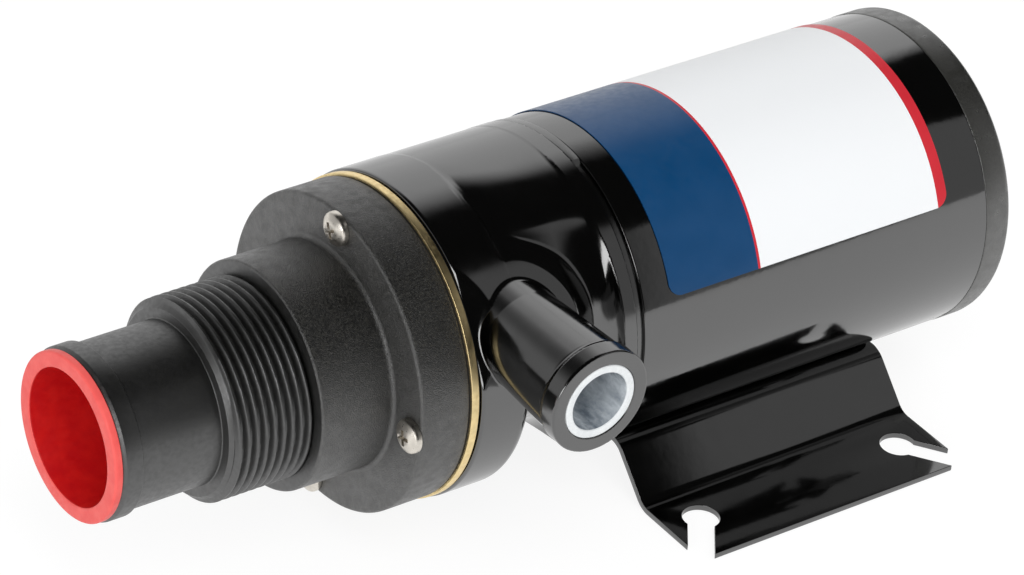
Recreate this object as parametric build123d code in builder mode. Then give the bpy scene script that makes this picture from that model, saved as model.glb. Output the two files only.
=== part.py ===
"""Macerator pump for waste water, in millimetres.

X runs along the pump axis from the inlet to the motor end, Z is up.
The feet of the bracket stand on z = 0 and the origin is midway between the four keyholes.
"""

import os
from math import cos, radians, sin, tan
from build123d import *

os.makedirs("parts", exist_ok=True)

# Fits, all measured on the radius or on one side
slide_gap = 0.05
running_gap = 0.04
seat_gap = 0.01
hole_gap = 0.15

# Height of the pump axis over the feet
axis_height = 46.0

# Round bodies that stand in one line, each a little smaller or larger than the pump housing
housing_radius = 39.0
flange_radius = housing_radius - 0.9
gasket_radius = housing_radius - 1.1
wear_plate_radius = housing_radius - 0.4
band_radius = housing_radius - 1.1
tab_height = 1.0
tab_radius = band_radius + tab_height
case_radius = 38.7
case_wall = 2.0
case_bore = case_radius - case_wall
cap_radius = case_radius + 0.1

# Lengths along the axis, from the inlet to the motor end
inlet_front = -177.3
plug_lip = 2.0
tail_length = 26.0
thread_length = 21.3
collar_length = 19.2
flange_thickness = 12.8
gasket_thickness = 0.5
wear_plate_thickness = 2.0
housing_length = 43.4
band_length = 2.5
case_length = 102.3
cap_length = 7.8

tail_front = inlet_front + plug_lip
thread_front = tail_front + tail_length
collar_front = thread_front + thread_length
flange_front = collar_front + collar_length
cover_back = flange_front + flange_thickness
plate_front = cover_back + gasket_thickness
plate_back = plate_front + wear_plate_thickness
housing_front = plate_back + gasket_thickness
bell_front = housing_front + housing_length
case_front = bell_front + band_length
cap_front = case_front + case_length
cap_back = cap_front + cap_length

pump_axis = Axis((0, 0, axis_height), (1, 0, 0))
side = Plane(origin=(0, 0, axis_height), x_dir=(1, 0, 0), z_dir=(0, -1, 0))


def across(x, lift=0):
    """Plane square to the pump axis at x, with Y to the right and Z up."""
    return Plane(origin=(x, 0, axis_height + lift), x_dir=(0, 1, 0), z_dir=(1, 0, 0))


# Screws that hold the cover, seen from the inlet
cover_screw_radius = 2.0
cover_screw_inset = 3.5
cover_screw_circle = flange_radius - cover_screw_inset
cover_screw_angle = 1.6
cover_screw_count = 4
cover_screw_length = 26.0
cover_screw_head = 4.1
cover_screw_head_height = 2.6
recess_length = 4.2
recess_width = 0.9

# Inlet plug
plug_lip_radius = 19.9
plug_cup_mouth = 16.1
plug_cup_floor = 15.6
plug_sleeve_length = 18.0
plug_floor = 2.0
tail_bore = 17.2
plug_sleeve_radius = tail_bore - slide_gap
plug_back = tail_front + plug_sleeve_length

with BuildPart() as inlet_plug:
    with BuildSketch(side):
        with BuildLine():
            Polyline(
                (inlet_front, plug_cup_mouth),
                (inlet_front, plug_lip_radius),
                (tail_front, plug_lip_radius),
                (tail_front, plug_sleeve_radius),
                (plug_back, plug_sleeve_radius),
                (plug_back, 0),
                (plug_back - plug_floor, 0),
                (plug_back - plug_floor, plug_cup_floor),
                close=True,
            )
        make_face()
    revolve(axis=pump_axis)
    lip_edges = inlet_plug.edges().filter_by(GeomType.CIRCLE).sort_by(Axis.X)[:2]
    fillet(lip_edges, radius=0.5)
inlet_plug.part.label = "inlet_plug"
export_step(inlet_plug.part, "parts/inlet_plug.step")

# Inlet cover: hose tail, plain band that carries the thread, collar and flange
tail_radius = 19.4
bead_radius = 20.3
bead_length = 5.0
thread_root = 22.9
collar_radius = 27.2
tail_bore_length = 20.0
throat_radius = 16.0
throat_end = collar_front - 3.0
knife_chamber_radius = 23.5
knife_chamber_front = throat_end + 7.0
collar_fillet = 1.2

with BuildPart() as inlet_cover:
    with BuildSketch(side):
        with BuildLine():
            Polyline(
                (tail_front, tail_bore),
                (tail_front, tail_radius),
                (tail_front + 0.9, bead_radius),
                (tail_front + bead_length, bead_radius),
                (tail_front + bead_length + 0.9, tail_radius),
                (thread_front, tail_radius),
                (thread_front, thread_root - 1.0),
                (thread_front + 1.0, thread_root),
                (collar_front, thread_root),
                (collar_front, collar_radius - 0.5),
                (collar_front + 0.5, collar_radius),
                (flange_front, collar_radius),
                (flange_front, flange_radius - 0.6),
                (flange_front + 0.6, flange_radius),
                (cover_back, flange_radius),
                (cover_back, knife_chamber_radius),
                (knife_chamber_front, knife_chamber_radius),
                (throat_end, throat_radius),
                (tail_front + tail_bore_length, throat_radius),
                (tail_front + tail_bore_length, tail_bore),
                close=True,
            )
        make_face()
    revolve(axis=pump_axis)
    collar_root = inlet_cover.edges().filter_by(GeomType.CIRCLE)
    collar_root = collar_root.filter_by_position(Axis.X, flange_front - 0.1, flange_front + 0.1)
    fillet(collar_root.sort_by(SortBy.RADIUS)[0], radius=collar_fillet)
    with BuildSketch(across(flange_front - 1)):
        with PolarLocations(cover_screw_circle, cover_screw_count, start_angle=cover_screw_angle):
            Circle(cover_screw_radius + hole_gap)
    extrude(amount=flange_thickness + 2, mode=Mode.SUBTRACT)
inlet_cover.part.label = "inlet_cover"
export_step(inlet_cover.part, "parts/inlet_cover.step")

# Cover screws: domed heads with a cross recess
with BuildPart() as cover_screws:
    with BuildSketch(across(flange_front)):
        with PolarLocations(cover_screw_circle, cover_screw_count, start_angle=cover_screw_angle):
            Circle(cover_screw_radius)
    extrude(amount=cover_screw_length)
    with BuildSketch(across(flange_front)):
        with PolarLocations(cover_screw_circle, cover_screw_count, start_angle=cover_screw_angle):
            Circle(cover_screw_head)
    extrude(amount=-cover_screw_head_height)
    head_rims = cover_screws.edges().filter_by(GeomType.CIRCLE)
    head_rims = head_rims.filter_by_position(
        Axis.X, flange_front - cover_screw_head_height - 0.1, flange_front - cover_screw_head_height + 0.1
    )
    fillet(head_rims, radius=cover_screw_head_height * 0.6)
    with BuildSketch(across(flange_front - cover_screw_head_height)):
        with PolarLocations(cover_screw_circle, cover_screw_count, start_angle=cover_screw_angle):
            Rectangle(recess_length, recess_width)
            Rectangle(recess_width, recess_length)
    extrude(amount=1.5, mode=Mode.SUBTRACT)
cover_screws.part.label = "cover_screws"
export_step(cover_screws.part, "parts/cover_screws.step")

# Gasket between the cover and the wear plate
with BuildPart() as cover_gasket:
    with BuildSketch(across(cover_back)):
        Circle(gasket_radius)
        Circle(knife_chamber_radius, mode=Mode.SUBTRACT)
        with PolarLocations(cover_screw_circle, cover_screw_count, start_angle=cover_screw_angle):
            Circle(cover_screw_radius + hole_gap, mode=Mode.SUBTRACT)
    extrude(amount=gasket_thickness)
cover_gasket.part.label = "cover_gasket"
export_step(cover_gasket.part, "parts/cover_gasket.step")

# Wear plate with two curved inlet ports
wear_plate_hole = 5.0
port_slot_radius = 14.5
port_slot_width = 7.0
port_slot_angle = 90

with BuildPart() as wear_plate:
    with BuildSketch(across(plate_front)):
        Circle(wear_plate_radius)
        Circle(wear_plate_hole, mode=Mode.SUBTRACT)
        for middle in (0, 180):
            SlotArc(
                arc=CenterArc((0, 0), port_slot_radius, middle - port_slot_angle / 2, port_slot_angle),
                height=port_slot_width,
                mode=Mode.SUBTRACT,
            )
        with PolarLocations(cover_screw_circle, cover_screw_count, start_angle=cover_screw_angle):
            Circle(cover_screw_radius + hole_gap, mode=Mode.SUBTRACT)
    extrude(amount=wear_plate_thickness)
wear_plate.part.label = "wear_plate"
export_step(wear_plate.part, "parts/wear_plate.step")

# Impeller chamber, a round room set a little above the shaft
chamber_radius = 26.0
chamber_lift = 1.5
seal_length = 7.0
seal_room = seal_length + 1.0
seal_boss_end = 2.0
slinger_gap = 0.8
slinger_thickness = 1.5
hub_gap = 1.9
bell_hub_reach = 6.5
chamber_back = bell_front - bell_hub_reach - hub_gap - slinger_thickness - slinger_gap - seal_boss_end - seal_room
chamber_depth = chamber_back - housing_front

# Gasket between the wear plate and the housing
with BuildPart() as housing_gasket:
    with BuildSketch(across(plate_back)):
        Circle(gasket_radius)
        Circle(chamber_radius + chamber_lift, mode=Mode.SUBTRACT)
        with PolarLocations(cover_screw_circle, cover_screw_count, start_angle=cover_screw_angle):
            Circle(cover_screw_radius + hole_gap, mode=Mode.SUBTRACT)
    extrude(amount=gasket_thickness)
housing_gasket.part.label = "housing_gasket"
export_step(housing_gasket.part, "parts/housing_gasket.step")

# Pump housing: drum, boss of the outlet port, waist and rear rim
drum_length = 14.5
drum_rounding = 3.0
waist_radius = housing_radius - 3.0
waist_offset = 7.3
waist_turn = 49
waist_step = 0.1
rim_length = 2.9
flare_length = 11.5
port_x = housing_front + 13.3
port_lift = 16.1
port_end = 63.1
boss_radius = 15.5
boss_reach = housing_radius + 8.0
port_root_radius = 11.2
port_root_end = housing_radius - 2.0
port_root_start = port_root_end - 6.0
port_tip_radius = 12.4
port_band_radius = 13.0
port_band_length = 4.5
port_bore = 9.45
port_passage = 8.5
relief_angle = 33
relief_depth = 3.3
relief_length = 6.0
rim_flat = housing_radius - 6.0
drain_length = 14.0
drain_width = 8.0
outlet_plug_length = 15.0
shaft_radius = 4.0
seal_radius = 11.0
housing_wall = 4.0
seal_boss_radius = 14.0
seal_boss_back = chamber_back + seal_room + seal_boss_end
rear_room_radius = 25.0
rear_room_lift = 3.0
housing_screw_radius = 2.0
housing_screw_inset = 6.7
housing_screw_circle = case_bore - housing_screw_inset
housing_screw_count = 3
housing_screw_length = 9.5

drum_back = housing_front + drum_length
rim_front = bell_front - rim_length
flare_front = rim_front - flare_length
port_axis = Axis((port_x, 0, axis_height + port_lift), (0, -1, 0))
port_side = Plane(origin=(port_x, 0, axis_height + port_lift), x_dir=(0, -1, 0), z_dir=(1, 0, 0))
port_mouth = Plane(origin=(port_x, -port_end, axis_height + port_lift), x_dir=(1, 0, 0), z_dir=(0, -1, 0))

# The boss is a round block around the port axis, trimmed to the curve of the drum
with BuildPart() as port_boss:
    with BuildSketch(Plane(origin=(port_x, 0, axis_height + port_lift), x_dir=(1, 0, 0), z_dir=(0, -1, 0))):
        Circle(boss_radius)
    extrude(amount=boss_reach)
    with BuildSketch(across(housing_front)):
        Circle(housing_radius)
    extrude(amount=housing_length, mode=Mode.INTERSECT)

# The waist is a larger circle set off to the far side, so that it is flush with the drum at the
# top and leaves a hollow beside and under the port, and it flares out to the rear rim
waist_y = waist_offset * cos(radians(waist_turn))
waist_z = waist_offset * sin(radians(waist_turn))
with BuildPart() as waist:
    with BuildSketch(across(drum_back - 5)):
        with Locations((waist_y, waist_z)):
            Circle(waist_radius)
    extrude(amount=flare_front - drum_back + 5)
    with BuildSketch(across(flare_front)):
        with Locations((waist_y, waist_z)):
            Circle(waist_radius)
    with BuildSketch(across(flare_front + flare_length * 0.45)):
        with Locations((waist_y * 0.9, waist_z * 0.9)):
            Circle(waist_radius + 0.3)
    with BuildSketch(across(flare_front + flare_length * 0.78)):
        with Locations((waist_y * 0.55, waist_z * 0.55)):
            Circle(waist_radius + 1.3)
    with BuildSketch(across(rim_front)):
        Circle(housing_radius)
    loft()
    with BuildSketch(across(drum_back - 5)):
        Circle(housing_radius - waist_step)
    extrude(amount=rim_front - drum_back + 5, mode=Mode.INTERSECT)

with BuildPart() as pump_housing:
    with BuildSketch(across(housing_front)):
        Circle(housing_radius)
    extrude(amount=drum_length)
    drum_edge = pump_housing.edges().filter_by(GeomType.CIRCLE).sort_by(Axis.X)[-1]
    fillet(drum_edge, radius=drum_rounding)
    add(waist.part)
    with BuildSketch(across(rim_front)):
        Circle(housing_radius)
    extrude(amount=rim_length)
    add(port_boss.part)
    # Root of the port, flared from the boss down to the tube
    with BuildSketch(port_side):
        with BuildLine():
            Polyline(
                (port_root_start - 11, 0),
                (port_root_start - 11, boss_radius - 0.3),
                (port_root_start, boss_radius - 0.3),
            )
            ThreePointArc(
                (port_root_start, boss_radius - 0.3),
                (port_root_start + 2.2, port_root_radius + 1.2),
                (port_root_end, port_root_radius + 0.1),
            )
            Polyline(
                (port_root_end, port_root_radius + 0.1),
                (port_root_end, 0),
                (port_root_start - 11, 0),
            )
        make_face()
    revolve(axis=port_axis)
    # Flat that slants off the front edge beside the port
    relief_plane = Plane(
        origin=(housing_front, 0, axis_height),
        x_dir=(1, 0, 0),
        z_dir=(0, -sin(radians(relief_angle)), -cos(radians(relief_angle))),
    )
    with BuildSketch(relief_plane):
        with BuildLine():
            Polyline(
                (-1, housing_radius - relief_depth),
                (relief_length, housing_radius),
                (relief_length + 2, housing_radius + 12),
                (-1, housing_radius + 12),
                close=True,
            )
        make_face()
    extrude(amount=30, both=True, mode=Mode.SUBTRACT)
    # Tube of the port, whole beside the slanting flat, with a band at its end
    with BuildSketch(port_side):
        with BuildLine():
            Polyline(
                (port_root_start - 11, 0),
                (port_root_start - 11, port_root_radius + 0.1),
                (port_root_end, port_root_radius + 0.1),
                (port_end - port_band_length - 1.6, port_tip_radius),
                (port_end - port_band_length - 0.5, port_tip_radius),
                (port_end - port_band_length, port_band_radius),
                (port_end - 0.5, port_band_radius),
                (port_end, port_band_radius - 0.5),
                (port_end, 0),
                close=True,
            )
        make_face()
    revolve(axis=port_axis)
    # Everything stops at the flat front face
    with BuildSketch(across(housing_front)):
        Circle(housing_radius + 30)
    extrude(amount=-12, mode=Mode.SUBTRACT)
    # Flat under the rear rim
    with BuildSketch(across(flare_front - 2)):
        with Locations((0, -rim_flat)):
            Rectangle(2 * housing_radius, housing_radius, align=(Align.CENTER, Align.MAX))
    extrude(amount=bell_front - flare_front + 3, mode=Mode.SUBTRACT)
    # Impeller chamber, outlet passage and mouth
    with BuildSketch(across(housing_front, chamber_lift)):
        Circle(chamber_radius)
    extrude(amount=chamber_depth, mode=Mode.SUBTRACT)
    with BuildSketch(port_mouth):
        Circle(port_passage)
    extrude(amount=-(port_end - 12), mode=Mode.SUBTRACT)
    with BuildSketch(port_mouth):
        Circle(port_bore)
    extrude(amount=-(outlet_plug_length + 1), mode=Mode.SUBTRACT)
    # Room behind the wall, with the seal boss left standing in it
    with BuildSketch(across(bell_front, rear_room_lift)):
        Circle(rear_room_radius)
    extrude(amount=-(bell_front - chamber_back - housing_wall), mode=Mode.SUBTRACT)
    with BuildSketch(across(chamber_back)):
        Circle(seal_boss_radius)
    extrude(amount=seal_boss_back - chamber_back)
    with BuildSketch(across(chamber_back)):
        Circle(seal_radius + seat_gap)
    extrude(amount=seal_room, mode=Mode.SUBTRACT)
    with BuildSketch(across(chamber_back)):
        Circle(seal_radius - 2)
    extrude(amount=seal_boss_back - chamber_back + 1, mode=Mode.SUBTRACT)
    # Drain slot under the waist
    with BuildSketch(Plane(origin=(flare_front + drain_width / 2, 0, 0), x_dir=(1, 0, 0), z_dir=(0, 0, 1))):
        SlotOverall(drain_length, drain_width, rotation=90)
    extrude(amount=axis_height - 20, mode=Mode.SUBTRACT)
    # Screw holes from the front and from the rear
    with BuildSketch(across(housing_front)):
        with PolarLocations(cover_screw_circle, cover_screw_count, start_angle=cover_screw_angle):
            Circle(cover_screw_radius + seat_gap)
    extrude(amount=11, mode=Mode.SUBTRACT)
    with BuildSketch(across(bell_front)):
        with PolarLocations(housing_screw_circle, housing_screw_count, start_angle=90):
            Circle(housing_screw_radius + seat_gap)
    extrude(amount=-6.5, mode=Mode.SUBTRACT)
pump_housing.part.label = "pump_housing"
export_step(pump_housing.part, "parts/pump_housing.step")

# Outlet plug, a white cup in the mouth of the port
outlet_plug_wall = 2.0
outlet_plug_radius = port_bore - slide_gap
with BuildPart() as outlet_plug:
    with BuildSketch(port_mouth):
        Circle(outlet_plug_radius)
    extrude(amount=-outlet_plug_length)
    with BuildSketch(port_mouth):
        Circle(outlet_plug_radius - outlet_plug_wall)
    extrude(amount=-(outlet_plug_length - outlet_plug_wall), mode=Mode.SUBTRACT)
    mouth_edges = outlet_plug.edges().filter_by(GeomType.CIRCLE).sort_by(Axis.Y)[:2]
    fillet(mouth_edges, radius=0.35)
outlet_plug.part.label = "outlet_plug"
export_step(outlet_plug.part, "parts/outlet_plug.step")

# Motor lengths, measured from the two ends of the case
bearing_radius = 11.0
bearing_length = 7.0
bell_plate = 4.0
bell_hub_wall = 1.5
bell_back = bell_front + bell_plate
bell_hub_front = bell_front - bell_hub_reach
front_bearing_front = bell_hub_front + bell_hub_wall
front_bearing_back = front_bearing_front + bearing_length
bell_hub_radius = 15.0
rear_bearing_inset = 4.7
rear_bearing_front = cap_front - rear_bearing_inset
rear_bearing_back = rear_bearing_front + bearing_length
winding_overhang = 10.0
winding_gap = 2.0
commutator_length = 15.0
commutator_radius = 13.0
riser_radius = 15.0
riser_length = 2.0
commutator_rear_gap = 7.5
core_inset = 23.1
core_front = case_front + core_inset
commutator_back = rear_bearing_front - commutator_rear_gap
commutator_front = commutator_back - commutator_length
core_back = commutator_front - winding_gap - winding_overhang
core_length = core_back - core_front
core_radius = case_bore - 8.4
core_slots = 12
spindle_radius = 6.0
spindle_front = core_front - winding_overhang - 2 * winding_gap
spindle_back = commutator_back + 1.0
shaft_end = rear_bearing_back + 1.2

# Impeller on its brass insert
impeller_gap = 0.5
impeller_front = housing_front + impeller_gap
impeller_length = chamber_depth - 2 * impeller_gap
impeller_tip = chamber_radius - chamber_lift - 0.3
impeller_hub = 10.0
insert_radius = 7.0
vane_thickness = 2.6
vane_bulb = 2.1
vane_count = 6
pin_radius = 1.25
pin_x = impeller_front + impeller_length / 2

# Chopper in front of the wear plate
chopper_thickness = 2.5
chopper_back = plate_front - 1.5
chopper_front = chopper_back - chopper_thickness
knife_length = 18.0
knife_radius = 22.3
knife_thickness = 2.8
arm_width = 9.0
washer_thickness = 1.5
washer_radius = 9.0
nut_height = 6.5
nut_flats = 13.0
washer_front = chopper_front - washer_thickness
nut_front = washer_front - nut_height
shaft_front = nut_front - 1.5
shaft_bore = shaft_radius + seat_gap

with BuildPart() as motor_shaft:
    with BuildSketch(side):
        with BuildLine():
            Polyline(
                (shaft_front, 0),
                (shaft_front, shaft_radius - 0.6),
                (shaft_front + 0.6, shaft_radius),
                (spindle_front, shaft_radius),
                (spindle_front, spindle_radius),
                (spindle_back, spindle_radius),
                (spindle_back, shaft_radius),
                (shaft_end - 0.5, shaft_radius),
                (shaft_end, shaft_radius - 0.5),
                (shaft_end, 0),
                close=True,
            )
        make_face()
    revolve(axis=pump_axis)
    with BuildSketch(Plane(origin=(pin_x, 0, axis_height), x_dir=(1, 0, 0), z_dir=(0, 0, 1))):
        Circle(pin_radius + seat_gap)
    extrude(amount=shaft_radius + 1, both=True, mode=Mode.SUBTRACT)
motor_shaft.part.label = "motor_shaft"
export_step(motor_shaft.part, "parts/motor_shaft.step")

with BuildPart() as chopper_plate:
    with BuildSketch(across(chopper_back)):
        Circle(washer_radius)
        Rectangle(2 * knife_radius, arm_width)
        Circle(shaft_bore, mode=Mode.SUBTRACT)
    extrude(amount=-chopper_thickness)
    with BuildSketch(across(chopper_front)):
        with PolarLocations(knife_radius - knife_thickness / 2, 2):
            Rectangle(knife_thickness, arm_width)
    extrude(amount=-knife_length)
    knife_tips = chopper_plate.faces().sort_by(Axis.X)[:2]
    chamfer(knife_tips.edges().filter_by(Axis.Z).group_by(Axis.Y)[0], length=1.2)
    chamfer(chopper_plate.faces().sort_by(Axis.X)[:2].edges().filter_by(Axis.Z).group_by(Axis.Y)[-1], length=1.2)
chopper_plate.part.label = "chopper_plate"
export_step(chopper_plate.part, "parts/chopper_plate.step")

with BuildPart() as chopper_washer:
    with BuildSketch(across(chopper_front)):
        Circle(washer_radius)
        Circle(shaft_bore, mode=Mode.SUBTRACT)
    extrude(amount=-washer_thickness)
chopper_washer.part.label = "chopper_washer"
export_step(chopper_washer.part, "parts/chopper_washer.step")

with BuildPart() as chopper_nut:
    with BuildSketch(across(washer_front)):
        RegularPolygon(nut_flats / 2, 6, major_radius=False)
        Circle(shaft_bore, mode=Mode.SUBTRACT)
    extrude(amount=-nut_height)
chopper_nut.part.label = "chopper_nut"
export_step(chopper_nut.part, "parts/chopper_nut.step")

with BuildPart() as impeller:
    with BuildSketch(across(impeller_front)):
        Circle(impeller_hub)
        with PolarLocations(impeller_tip / 2, vane_count, start_angle=30):
            Rectangle(impeller_tip - 2 * vane_bulb, vane_thickness)
        with PolarLocations(impeller_tip - vane_bulb, vane_count, start_angle=30):
            Circle(vane_bulb)
        Circle(insert_radius + seat_gap, mode=Mode.SUBTRACT)
    extrude(amount=impeller_length)
impeller.part.label = "impeller"
export_step(impeller.part, "parts/impeller.step")

with BuildPart() as impeller_insert:
    with BuildSketch(across(impeller_front)):
        Circle(insert_radius)
        Circle(shaft_bore, mode=Mode.SUBTRACT)
    extrude(amount=impeller_length)
    with BuildSketch(Plane(origin=(pin_x, 0, axis_height), x_dir=(1, 0, 0), z_dir=(0, 0, 1))):
        Circle(pin_radius + seat_gap)
    extrude(amount=insert_radius + 1, both=True, mode=Mode.SUBTRACT)
impeller_insert.part.label = "impeller_insert"
export_step(impeller_insert.part, "parts/impeller_insert.step")

with BuildPart() as drive_pin:
    with BuildSketch(Plane(origin=(pin_x, 0, axis_height), x_dir=(1, 0, 0), z_dir=(0, 0, 1))):
        Circle(pin_radius)
    extrude(amount=insert_radius - 0.3, both=True)
drive_pin.part.label = "drive_pin"
export_step(drive_pin.part, "parts/drive_pin.step")

# Lip seal pressed into the boss behind the chamber
seal_front = chamber_back + 0.5
seal_back = seal_front + seal_length
with BuildPart() as shaft_seal:
    with BuildSketch(side):
        with BuildLine():
            Polyline(
                (seal_front, seal_radius),
                (seal_back, seal_radius),
                (seal_back, shaft_radius + 1.2),
                (seal_back - 3.0, shaft_radius + running_gap),
                (seal_back - 4.0, shaft_radius + running_gap),
                (seal_back - 2.0, shaft_radius + 3.5),
                (seal_back - 2.0, seal_radius - 1.5),
                (seal_front, seal_radius - 1.5),
                close=True,
            )
        make_face()
    revolve(axis=pump_axis)
shaft_seal.part.label = "shaft_seal"
export_step(shaft_seal.part, "parts/shaft_seal.step")

# Rubber disc that throws leaked water off the shaft
slinger_radius = 9.0
slinger_front = seal_boss_back + slinger_gap
with BuildPart() as slinger:
    with BuildSketch(across(slinger_front)):
        Circle(slinger_radius)
        Circle(shaft_bore, mode=Mode.SUBTRACT)
    extrude(amount=slinger_thickness)
slinger.part.label = "slinger"
export_step(slinger.part, "parts/slinger.step")

# End bell: narrow band seen between housing and case, spigot, hub for the front bearing
tab_start = 45
tab_end = 101
spigot_length = 6.0
spigot_wall = 1.6
spigot_radius = case_bore - slide_gap
shaft_hole = shaft_radius + 1.5
through_bolt_radius = 2.0
through_bolt_circle = case_bore - 4.1
through_bolt_angle = 72
through_bolt_head = 3.6
through_bolt_head_height = 2.6
bolt_sink = 1.4

with BuildPart() as end_bell:
    with BuildSketch(side):
        with BuildLine():
            Polyline(
                (bell_hub_front, shaft_hole),
                (bell_hub_front, bell_hub_radius),
                (bell_front, bell_hub_radius),
                (bell_front, band_radius),
                (case_front, band_radius),
                (case_front, spigot_radius),
                (case_front + spigot_length, spigot_radius),
                (case_front + spigot_length, spigot_radius - spigot_wall),
                (bell_back, spigot_radius - spigot_wall),
                (bell_back, bearing_radius + seat_gap),
                (front_bearing_front, bearing_radius + seat_gap),
                (front_bearing_front, shaft_hole),
                close=True,
            )
        make_face()
    revolve(axis=pump_axis)
    with BuildSketch(across(bell_front)):
        with BuildLine():
            CenterArc((0, 0), tab_radius, tab_start, tab_end - tab_start)
            CenterArc((0, 0), band_radius - 2, tab_start, tab_end - tab_start)
            Line(
                ((band_radius - 2) * cos(radians(tab_start)), (band_radius - 2) * sin(radians(tab_start))),
                (tab_radius * cos(radians(tab_start)), tab_radius * sin(radians(tab_start))),
            )
            Line(
                ((band_radius - 2) * cos(radians(tab_end)), (band_radius - 2) * sin(radians(tab_end))),
                (tab_radius * cos(radians(tab_end)), tab_radius * sin(radians(tab_end))),
            )
        make_face()
    extrude(amount=band_length)
    with BuildSketch(across(bell_front)):
        with PolarLocations(housing_screw_circle, housing_screw_count, start_angle=90):
            Circle(housing_screw_radius + hole_gap)
        with PolarLocations(through_bolt_circle, 2, start_angle=through_bolt_angle):
            Circle(through_bolt_radius + seat_gap)
    extrude(amount=spigot_length + bell_plate, mode=Mode.SUBTRACT)
end_bell.part.label = "end_bell"
export_step(end_bell.part, "parts/end_bell.step")

# Screws that hold the housing to the bell, put in from the motor side
with BuildPart() as housing_screws:
    with BuildSketch(across(bell_back)):
        with PolarLocations(housing_screw_circle, housing_screw_count, start_angle=90):
            Circle(housing_screw_radius)
    extrude(amount=-housing_screw_length)
    with BuildSketch(across(bell_back)):
        with PolarLocations(housing_screw_circle, housing_screw_count, start_angle=90):
            Circle(housing_screw_radius * 1.7)
            Rectangle(4, 0.9, mode=Mode.SUBTRACT)
    extrude(amount=2.2)
housing_screws.part.label = "housing_screws"
export_step(housing_screws.part, "parts/housing_screws.step")

# Ball bearings, drawn as one ring with a shallow groove in each face
with BuildPart() as front_bearing:
    with BuildSketch(side):
        with BuildLine():
            Polyline(
                (front_bearing_front, shaft_radius + running_gap),
                (front_bearing_front, 6.0),
                (front_bearing_front + 0.4, 6.0),
                (front_bearing_front + 0.4, 9.5),
                (front_bearing_front, 9.5),
                (front_bearing_front, bearing_radius),
                (front_bearing_back, bearing_radius),
                (front_bearing_back, 9.5),
                (front_bearing_back - 0.4, 9.5),
                (front_bearing_back - 0.4, 6.0),
                (front_bearing_back, 6.0),
                (front_bearing_back, shaft_radius + running_gap),
                close=True,
            )
        make_face()
    revolve(axis=pump_axis)
front_bearing.part.label = "front_bearing"
export_step(front_bearing.part, "parts/front_bearing.step")

with BuildPart() as rear_bearing:
    with BuildSketch(side):
        with BuildLine():
            Polyline(
                (rear_bearing_front, shaft_radius + running_gap),
                (rear_bearing_front, 6.0),
                (rear_bearing_front + 0.4, 6.0),
                (rear_bearing_front + 0.4, 9.5),
                (rear_bearing_front, 9.5),
                (rear_bearing_front, bearing_radius),
                (rear_bearing_back, bearing_radius),
                (rear_bearing_back, 9.5),
                (rear_bearing_back - 0.4, 9.5),
                (rear_bearing_back - 0.4, 6.0),
                (rear_bearing_back, 6.0),
                (rear_bearing_back, shaft_radius + running_gap),
                close=True,
            )
        make_face()
    revolve(axis=pump_axis)
rear_bearing.part.label = "rear_bearing"
export_step(rear_bearing.part, "parts/rear_bearing.step")

# Motor case, with the holes for the two bracket screws
bracket_screw_radius = 2.0
bracket_screw_spacing = 50.0
with BuildPart() as motor_case:
    with BuildSketch(across(case_front)):
        Circle(case_radius)
        Circle(case_bore, mode=Mode.SUBTRACT)
    extrude(amount=case_length)
    with BuildSketch(Plane(origin=(0, 0, 0), x_dir=(1, 0, 0), z_dir=(0, 0, 1))):
        with GridLocations(bracket_screw_spacing, 0, 2, 1):
            Circle(bracket_screw_radius + seat_gap)
    extrude(amount=axis_height - case_bore + 3, mode=Mode.SUBTRACT)
motor_case.part.label = "motor_case"
export_step(motor_case.part, "parts/motor_case.step")

# Label wrapped over the case
label_thickness = 0.2
label_gap = 0.12
label_inset = 7.7
label_front = case_front + label_inset
label_length = 82.6
label_start = 21.6
label_end = 158.4
label_inner = case_radius + label_gap
label_outer = label_inner + label_thickness
with BuildPart() as label:
    with BuildSketch(across(label_front)):
        with BuildLine():
            outer_arc = CenterArc((0, 0), label_outer, label_start, label_end - label_start)
            inner_arc = CenterArc((0, 0), label_inner, label_start, label_end - label_start)
            Line(inner_arc @ 0, outer_arc @ 0)
            Line(inner_arc @ 1, outer_arc @ 1)
        make_face()
    extrude(amount=label_length)
    corners = label.edges().filter_by(GeomType.LINE).sort_by(SortBy.LENGTH)[:4]
    fillet(corners, radius=2.5)
label.part.label = "label"
export_step(label.part, "parts/label.step")

# Two curved magnets, left and right of the armature
magnet_inner = core_radius + 1.0
magnet_outer = case_bore - seat_gap
magnet_half_angle = 60
magnet_length = core_length + 12.0
with BuildPart() as magnets:
    with BuildSketch(across(core_front - 6.0)):
        for middle in (0, 180):
            with BuildLine():
                first = middle - magnet_half_angle
                outer_arc = CenterArc((0, 0), magnet_outer, first, 2 * magnet_half_angle)
                inner_arc = CenterArc((0, 0), magnet_inner, first, 2 * magnet_half_angle)
                Line(inner_arc @ 0, outer_arc @ 0)
                Line(inner_arc @ 1, outer_arc @ 1)
            make_face()
    extrude(amount=magnet_length)
magnets.part.label = "magnets"
export_step(magnets.part, "parts/magnets.step")

# Armature core with round slots open to the outside
slot_circle = core_radius - 6.8
slot_radius = 3.4
slot_mouth = 1.8
with BuildPart() as armature_core:
    with BuildSketch(across(core_front)):
        Circle(core_radius)
        Circle(spindle_radius + seat_gap, mode=Mode.SUBTRACT)
        with PolarLocations(slot_circle, core_slots):
            Circle(slot_radius, mode=Mode.SUBTRACT)
        with PolarLocations(slot_circle + 5, core_slots):
            Rectangle(10, slot_mouth, mode=Mode.SUBTRACT)
    extrude(amount=core_length)
armature_core.part.label = "armature_core"
export_step(armature_core.part, "parts/armature_core.step")

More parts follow.
